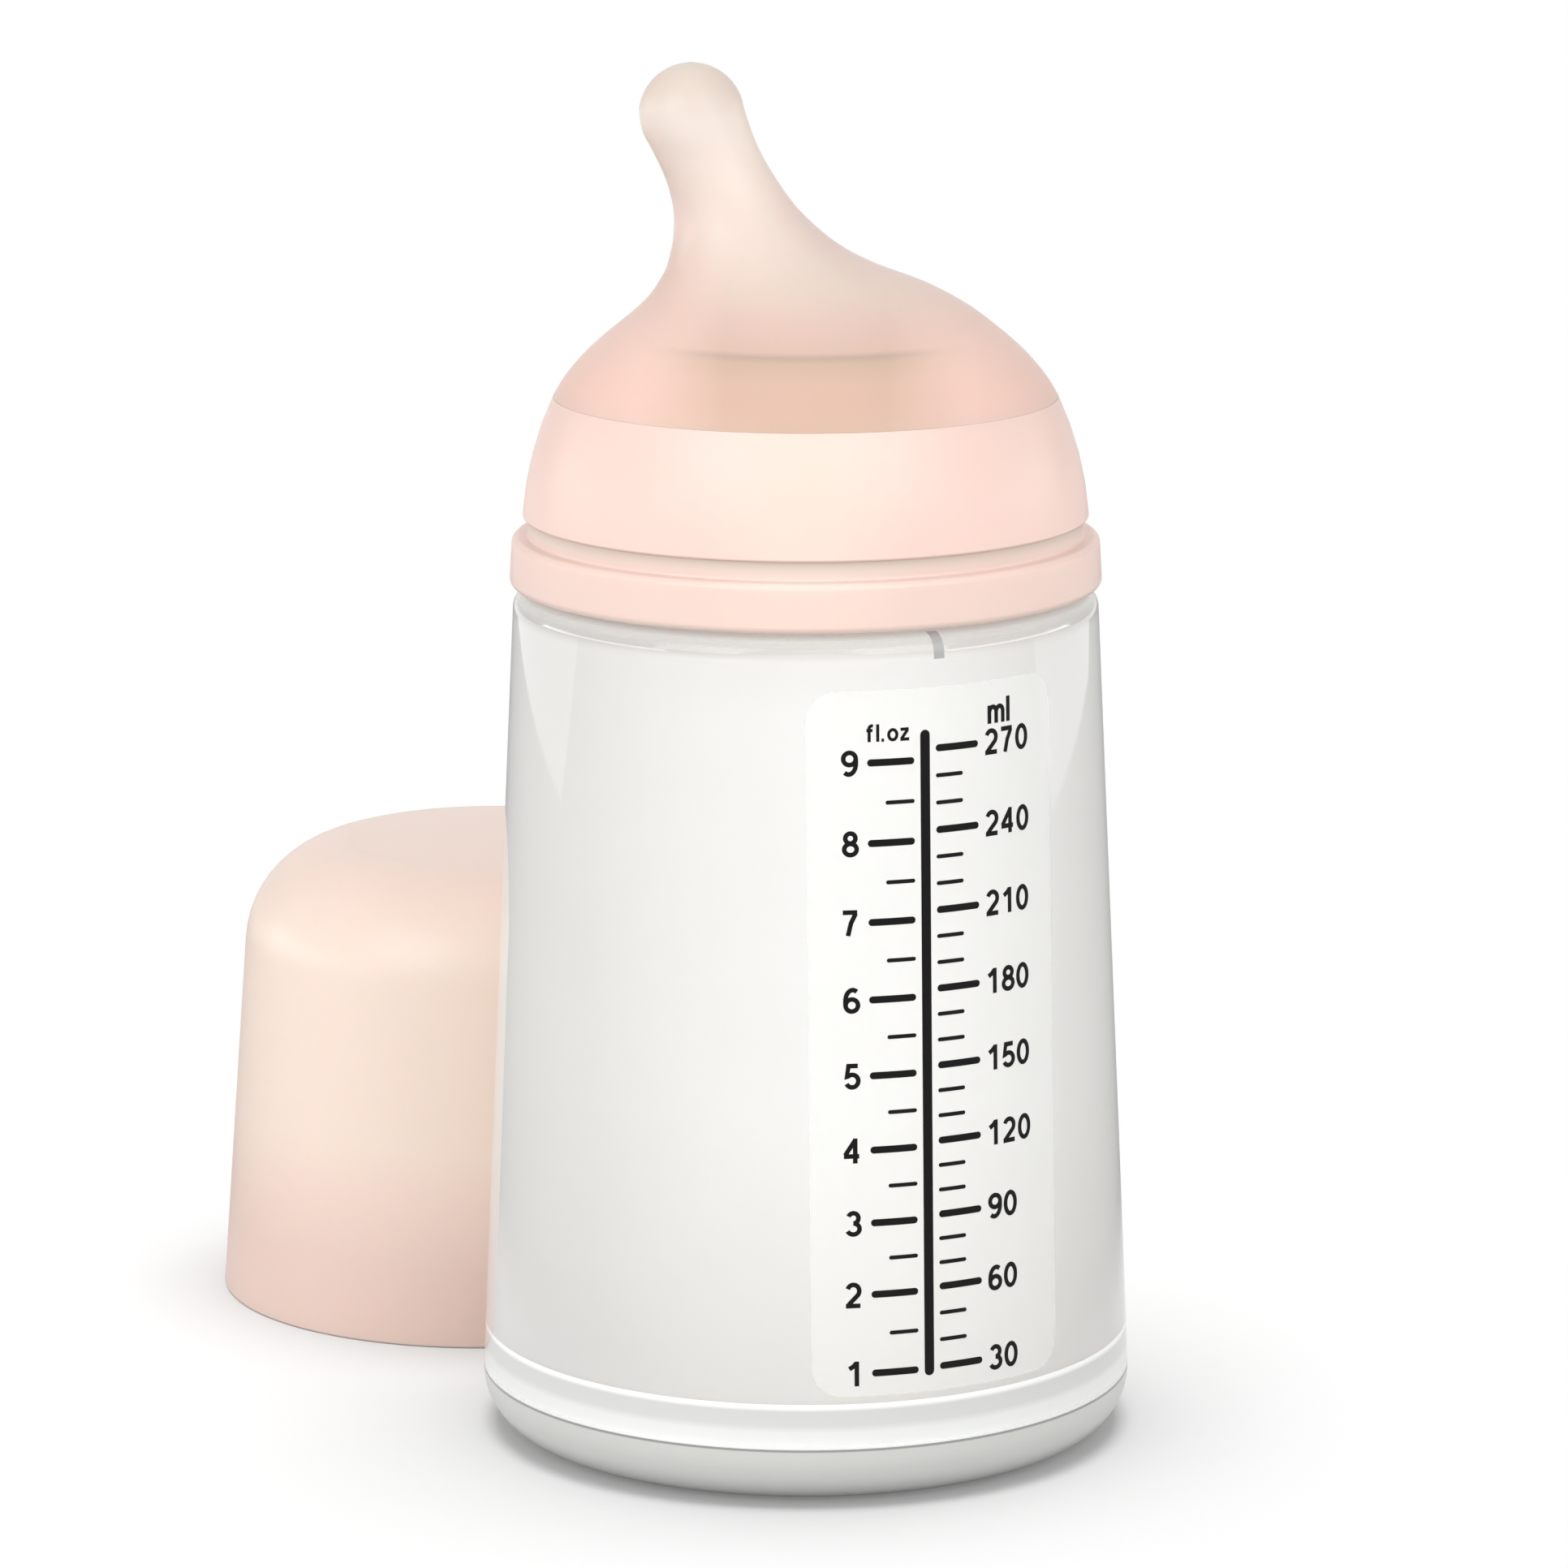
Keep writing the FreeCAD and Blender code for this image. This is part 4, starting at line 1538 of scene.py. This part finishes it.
@dataclass
class Teat:
    """Silicone teat: a gripped flange, a thick skirt and a thin nipple that leans to one side."""

    flange_bottom: float = 117.0
    flange_top: float = 118.75
    flange_radius: float = 28.0
    flange_round: float = 0.3
    groove_radius: float = 25.6
    skirt_bottom: float = 120.84
    skirt_radius: float = 28.62
    bore_radius: float = 23.4
    bore_top: float = 121.5
    bore_round: float = 2.0
    step_height: float = 128.5
    step_bore_radius: float = 18.8
    step_ease: float = 0.3
    wall: float = 2.0
    tip_lean: float = 12.93
    tip_height: float = 152.95
    tip_radius: float = 6.0
    tip_begin: float = math.radians(8.0)
    tip_rings: int = 12
    feed_hole: float = 0.45
    sections: tuple[tuple[float, float, float], ...] = (
        (121.03, 0.0, 28.78), (122.6, 0.0, 27.85), (124.2, 0.0, 26.62), (125.8, 0.0, 25.18),
        (127.4, 0.0, 23.45), (129.1, 0.0, 21.4), (130.6, 0.1, 19.5), (132.1, 0.55, 17.5),
        (133.7, 1.6, 15.3), (135.5, 3.5, 12.4), (137.3, 5.1, 10.3), (139.1, 6.25, 8.8),
        (142.4, 8.0, 7.05), (145.8, 9.65, 6.25), (149.0, 11.3, 6.07), (151.3, 12.35, 6.18),
    )

    def nipple(self, wall: float) -> list[Ring]:
        """Works out the rings up the teat and over its tip.

        Args:
            wall: how far inside the outer surface they lie.

        Returns:
            The rings, from the skirt to the feeding hole.
        """
        rows = [Ring(radius - wall, height, lean) for height, lean, radius in self.sections]
        tip = self.tip_radius - wall
        last = math.acos(self.feed_hole / tip)
        for k in range(self.tip_rings):
            rise = self.tip_begin + (last - self.tip_begin) * k / (self.tip_rings - 1)
            rows.append(Ring(tip * math.cos(rise), self.tip_height + tip * math.sin(rise), self.tip_lean))
        return self.eased(rows)

    def eased(self, rows: list[Ring], per_span: int = 4) -> list[Ring]:
        """Fills in rings on a smooth curve through the given ones.

        Args:
            rows: rings on the curve.
            per_span: rings from one to the next.

        Returns:
            The finer rings.
        """
        knots = np.array([(ring.radius, ring.height, ring.lean) for ring in rows])
        padded = np.vstack((2 * knots[0] - knots[1], knots, 2 * knots[-1] - knots[-2]))
        reach = np.concatenate(((0.0,), np.cumsum(np.linalg.norm(np.diff(padded, axis=0), axis=1) ** 0.5)))
        fine = []
        for i in range(1, len(padded) - 2):
            p, t = padded[i - 1 : i + 3], reach[i - 1 : i + 3]
            for k in range(per_span):
                now = t[1] + (t[2] - t[1]) * k / per_span
                a = [between(p[j], p[j + 1], t[j], t[j + 1], now) for j in range(3)]
                b = [between(a[j], a[j + 1], t[j], t[j + 2], now) for j in range(2)]
                fine.append(Ring(*between(b[0], b[1], t[1], t[2], now)))
        return fine + [rows[-1]]

    def build(self) -> None:
        """Makes the teat, hollow and with its feeding hole."""
        grip = Outline()
        grip.to(self.flange_radius, self.flange_bottom, self.flange_round)
        grip.to(self.flange_radius, self.flange_top, self.flange_round)
        grip.to(self.groove_radius, self.flange_top)
        grip.to(self.groove_radius, self.skirt_bottom)
        grip.to(self.skirt_radius, self.skirt_bottom)
        grip.to(self.bore_radius, self.step_height)
        loop = grip.rings()[:-1] + self.nipple(0.0)
        inside = [ring for ring in self.nipple(self.wall) if ring.height > self.step_height]
        loop += reversed(inside)
        loop.append(Ring(inside[0].radius + self.step_ease, self.step_height))
        loop.append(Ring(self.step_bore_radius, self.step_height))
        bore = Outline()
        bore.to(self.step_bore_radius, self.step_height)
        bore.to(self.bore_radius, self.bore_top, self.bore_round)
        bore.to(self.bore_radius, self.flange_bottom)
        loop += bore.rings()[1:]
        attach(skin("teat_form", loop, segments=TEAT_SIDES), Body.TEAT, SILICONE, "teat")


@dataclass
class Hood:
    """Thin tapered cup with a wide round edge, standing beside the bottle."""

    centre: RadiusHeight = (-39.4, 60.6)
    rim_radius: float = 33.75
    rim_rounds: Pair = (0.3, 0.15)
    taper: float = 0.075
    edge_height: float = 56.35
    crown: float = 1.0
    edge_round: float = 13.3
    thickness: float = 1.25
    bead_proud: float = 0.2
    bead_height: float = 0.75
    bead_half_width: float = 0.45

    def outer(self, height: float) -> float:
        """Returns the outer radius at a height."""
        return self.rim_radius - self.taper * height

    def build(self) -> None:
        """Makes the hood."""
        top = self.edge_height
        under = top - self.thickness
        crown_edge = self.outer(top - self.edge_round) - self.edge_round
        crown_radius = (crown_edge**2 + self.crown**2) / (2 * self.crown)
        middle = self.crown - crown_radius + math.sqrt(crown_radius**2 - crown_edge**2 / 4)
        outline = Outline()
        outline.to(self.outer(0.0), 0.0, self.rim_rounds[0])
        outline.to(self.outer(top), top, self.edge_round)
        outline.to(crown_edge, top)
        outline.to(0.0, top + self.crown, via=(crown_edge / 2, top + middle))
        outline.to(0.0, under + self.crown)
        outline.to(crown_edge, under, via=(crown_edge / 2, under + middle))
        outline.to(self.outer(under) - self.thickness, under, self.edge_round - self.thickness)
        for side, proud in ((1, 0.0), (0, self.bead_proud), (-1, 0.0)):
            height = self.bead_height + side * self.bead_half_width
            outline.to(self.outer(height) - self.thickness - proud, height)
        outline.to(self.outer(0.0) - self.thickness, 0.0, self.rim_rounds[1])
        attach(skin("hood_cup", outline.rings(), self.centre), Body.HOOD, HOOD_TINT, "hood")


class FloorLight(Enum):
    """What a lamp does to the floor, as Blender's light linking names it."""

    ALONE = "INCLUDE"
    NONE = "EXCLUDE"


@dataclass(frozen=True)
class Lamp:
    """A square soft light: its place and side in metres, its power in watts and what it does to the floor."""

    name: str
    spot: Spot
    size: float
    power: float
    floor_light: FloorLight


@dataclass
class Studio:
    """White floor and backdrop, soft light and the camera."""

    camera_distance: float = 788.5
    camera_height: float = 239.5
    camera_pitch: float = 11.74
    camera_reach: Pair = (0.05, 50.0)
    focal_pixels: float = 8594.0
    image_pixels: float = 1932.0
    axis_offset_pixels: float = 26.83
    sensor: float = 36.0
    ambient: float = 1.5
    ceiling: float = 0.4
    left_lean: float = 0.09
    side_shade: float = 0.3
    shade_reach: Pair = (0.12, 0.6)
    side_panels: float = 4.0
    panels_from: float = 0.82
    panels_height: Pair = (0.02, 0.15)
    floor_radius: float = 4.0
    floor_sides: int = 96
    floor_white: float = 0.55
    floor_bounce: float = 0.28
    floor_mirrored: float = 0.35
    floor_least_glow: float = 0.14
    floor_fade: Pair = (0.06, 0.12)
    card_glow: float = 0.8
    card_distance: float = 0.62
    card_near: float = 0.16
    card_middle: float = 0.065
    card_gap: float = 0.335
    shadow_centre: Spot = (-0.012, 0.02, 0.0)
    aim: Spot = (0.0, 0.0, 0.07)
    lamps: tuple[Lamp, ...] = (
        Lamp("left_panel", (-0.75, -0.8, 0.7), 0.8, 5.0, FloorLight.NONE),
        Lamp("right_panel", (0.7, -0.85, 0.7), 0.8, 4.6, FloorLight.NONE),
        Lamp("floor_panel", (0.0, 0.02, 0.9), 0.62, 11.0, FloorLight.ALONE),
    )

    def build(self) -> None:
        """Sets up the whole studio."""
        bpy.context.scene.view_settings.view_transform = "Standard"
        self.world()
        floor = self.floor()
        for lamp in self.lamps:
            self.hang(lamp, floor)
        self.camera()

    def world(self) -> None:
        """Lights from all round, and shows white to the camera."""
        world = bpy.data.worlds.new("studio")
        bpy.context.scene.world = world
        world.use_nodes = True
        world.node_tree.nodes.clear()
        sketch = NodeSketch(world.node_tree)
        sideways, _, upward = sketch.axes(sketch.add("ShaderNodeTexCoord").outputs["Generated"])
        even = sketch.remap(upward, end=(self.ambient, self.ceiling))
        leaning = sketch.math("SUBTRACT", 1.0, sketch.product(sideways, self.left_lean))
        unseen = sketch.math("SUBTRACT", 1.0, sketch.is_ray(*SEEING))
        ambient = sketch.product(unseen, even, leaning)
        strength = sketch.total(self.backdrop(sketch, sideways, upward), ambient)
        light = sketch.add("ShaderNodeBackground", {"Strength": strength})
        light.inputs["Color"].default_value = (1.0, 1.0, 1.0, 1.0)
        sketch.add("ShaderNodeOutputWorld", {"Surface": light.outputs[0]})

    def backdrop(self, sketch: NodeSketch, sideways: Socket, upward: Socket) -> Socket:
        """Works out what the backdrop shows: white straight on, and in clear walls greyer to the sides.

        Args:
            sketch: the world's tree.
            sideways: how far the ray goes to the right.
            upward: how far it goes up.

        Returns:
            The brightness that a seeing ray finds.
        """
        aside = sketch.math("ABSOLUTE", sideways)
        shade = sketch.remap(aside, self.shade_reach, (1.0, self.side_shade))
        mirrored = sketch.product(sketch.is_ray(*MIRRORED), shade)
        plain = sketch.math("MAXIMUM", sketch.is_ray(Ray.CAMERA), mirrored)
        low, high = self.panels_height
        panels = sketch.product(
            sketch.is_ray(Ray.GLOSSY),
            self.side_panels,
            sketch.math("GREATER_THAN", aside, self.panels_from),
            sketch.math("GREATER_THAN", upward, low),
            sketch.math("LESS_THAN", upward, high),
        )
        return sketch.total(plain, panels)

    def floor(self) -> Piece:
        """Lays a white floor that keeps shadows near the bottle and fades into the backdrop.

        Returns:
            The floor.
        """
        mesh = bmesh.new()
        bmesh.ops.create_circle(mesh, cap_ends=True, segments=self.floor_sides, radius=self.floor_radius)
        floor = finished_object("floor", mesh)
        material = bpy.data.materials.new("floor_white")
        sketch = SurfaceSketch(material)
        reach = sketch.vector("DISTANCE", sketch.place, self.shadow_centre, output="Value")
        ends = (self.floor_least_glow, 1.0)
        fade = sketch.remap(reach, self.floor_fade, ends, interpolation_type="SMOOTHSTEP")
        tone = sketch.remap(sketch.is_ray(Ray.DIFFUSE), end=(self.floor_white, self.floor_bounce))
        matt = sketch.add("ShaderNodeBsdfDiffuse", {"Color": tone})
        plain = sketch.remap(sketch.is_ray(Ray.CAMERA), end=(self.floor_mirrored, 1.0))
        x, y, _ = sketch.axes(sketch.place)
        beside = sketch.math("ABSOLUTE", sketch.math("SUBTRACT", x, self.card_middle))
        limits = ((reach, self.card_distance), (beside, self.card_gap), (y, self.card_near))
        inside = (sketch.math("GREATER_THAN", *limit) for limit in limits)
        cards = sketch.product(sketch.is_ray(Ray.GLOSSY), self.card_glow, *inside)
        glow = sketch.add("ShaderNodeEmission", {"Strength": sketch.total(plain, cards)})
        share = sketch.product(fade, sketch.is_ray(*SEEING))
        sketch.end(sketch.mixed(share, matt.outputs[0], glow.outputs[0]))
        floor.data.materials.append(material)
        return floor

    def hang(self, lamp: Lamp, floor: Piece) -> None:
        """Hangs a lamp that faces the bottle.

        Args:
            lamp: what is hung.
            floor: the floor that the bottle stands on.
        """
        light = bpy.data.lights.new(lamp.name, "AREA")
        light.size = lamp.size
        light.energy = lamp.power
        hung = linked(lamp.name, light)
        hung.location = lamp.spot
        hung.rotation_mode = "QUATERNION"
        hung.rotation_quaternion = (Vector(self.aim) - Vector(lamp.spot)).to_track_quat("-Z", "Y")
        lit = bpy.data.collections.new(lamp.name + "_reach")
        lit.objects.link(floor)
        lit.collection_objects[0].light_linking.link_state = lamp.floor_light.value
        hung.light_linking.receiver_collection = lit

    def camera(self) -> None:
        """Stands the camera where the photograph was taken from."""
        data = bpy.data.cameras.new("camera")
        data.sensor_width = self.sensor
        data.lens = self.focal_pixels / self.image_pixels * self.sensor
        data.shift_x = -self.axis_offset_pixels / self.image_pixels
        data.clip_start, data.clip_end = self.camera_reach
        camera = linked("camera", data)
        camera.location = (0.0, -self.camera_distance * MM, self.camera_height * MM)
        camera.rotation_euler = (math.radians(90.0 - self.camera_pitch), 0.0, 0.0)
        bpy.context.scene.camera = camera


def main() -> None:
    """Builds every sub-assembly around the frame and reports what was made."""
    logging.basicConfig(level=logging.INFO, format="%(name)s: %(message)s")
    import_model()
    shell = BottleShell()
    shell.build()
    for part in (VolumeScale(shell), LinerBag(shell), BaseCap(shell), Collar(), Teat(), Hood(), Studio()):
        part.build()


if __name__ == "__main__":
    main()
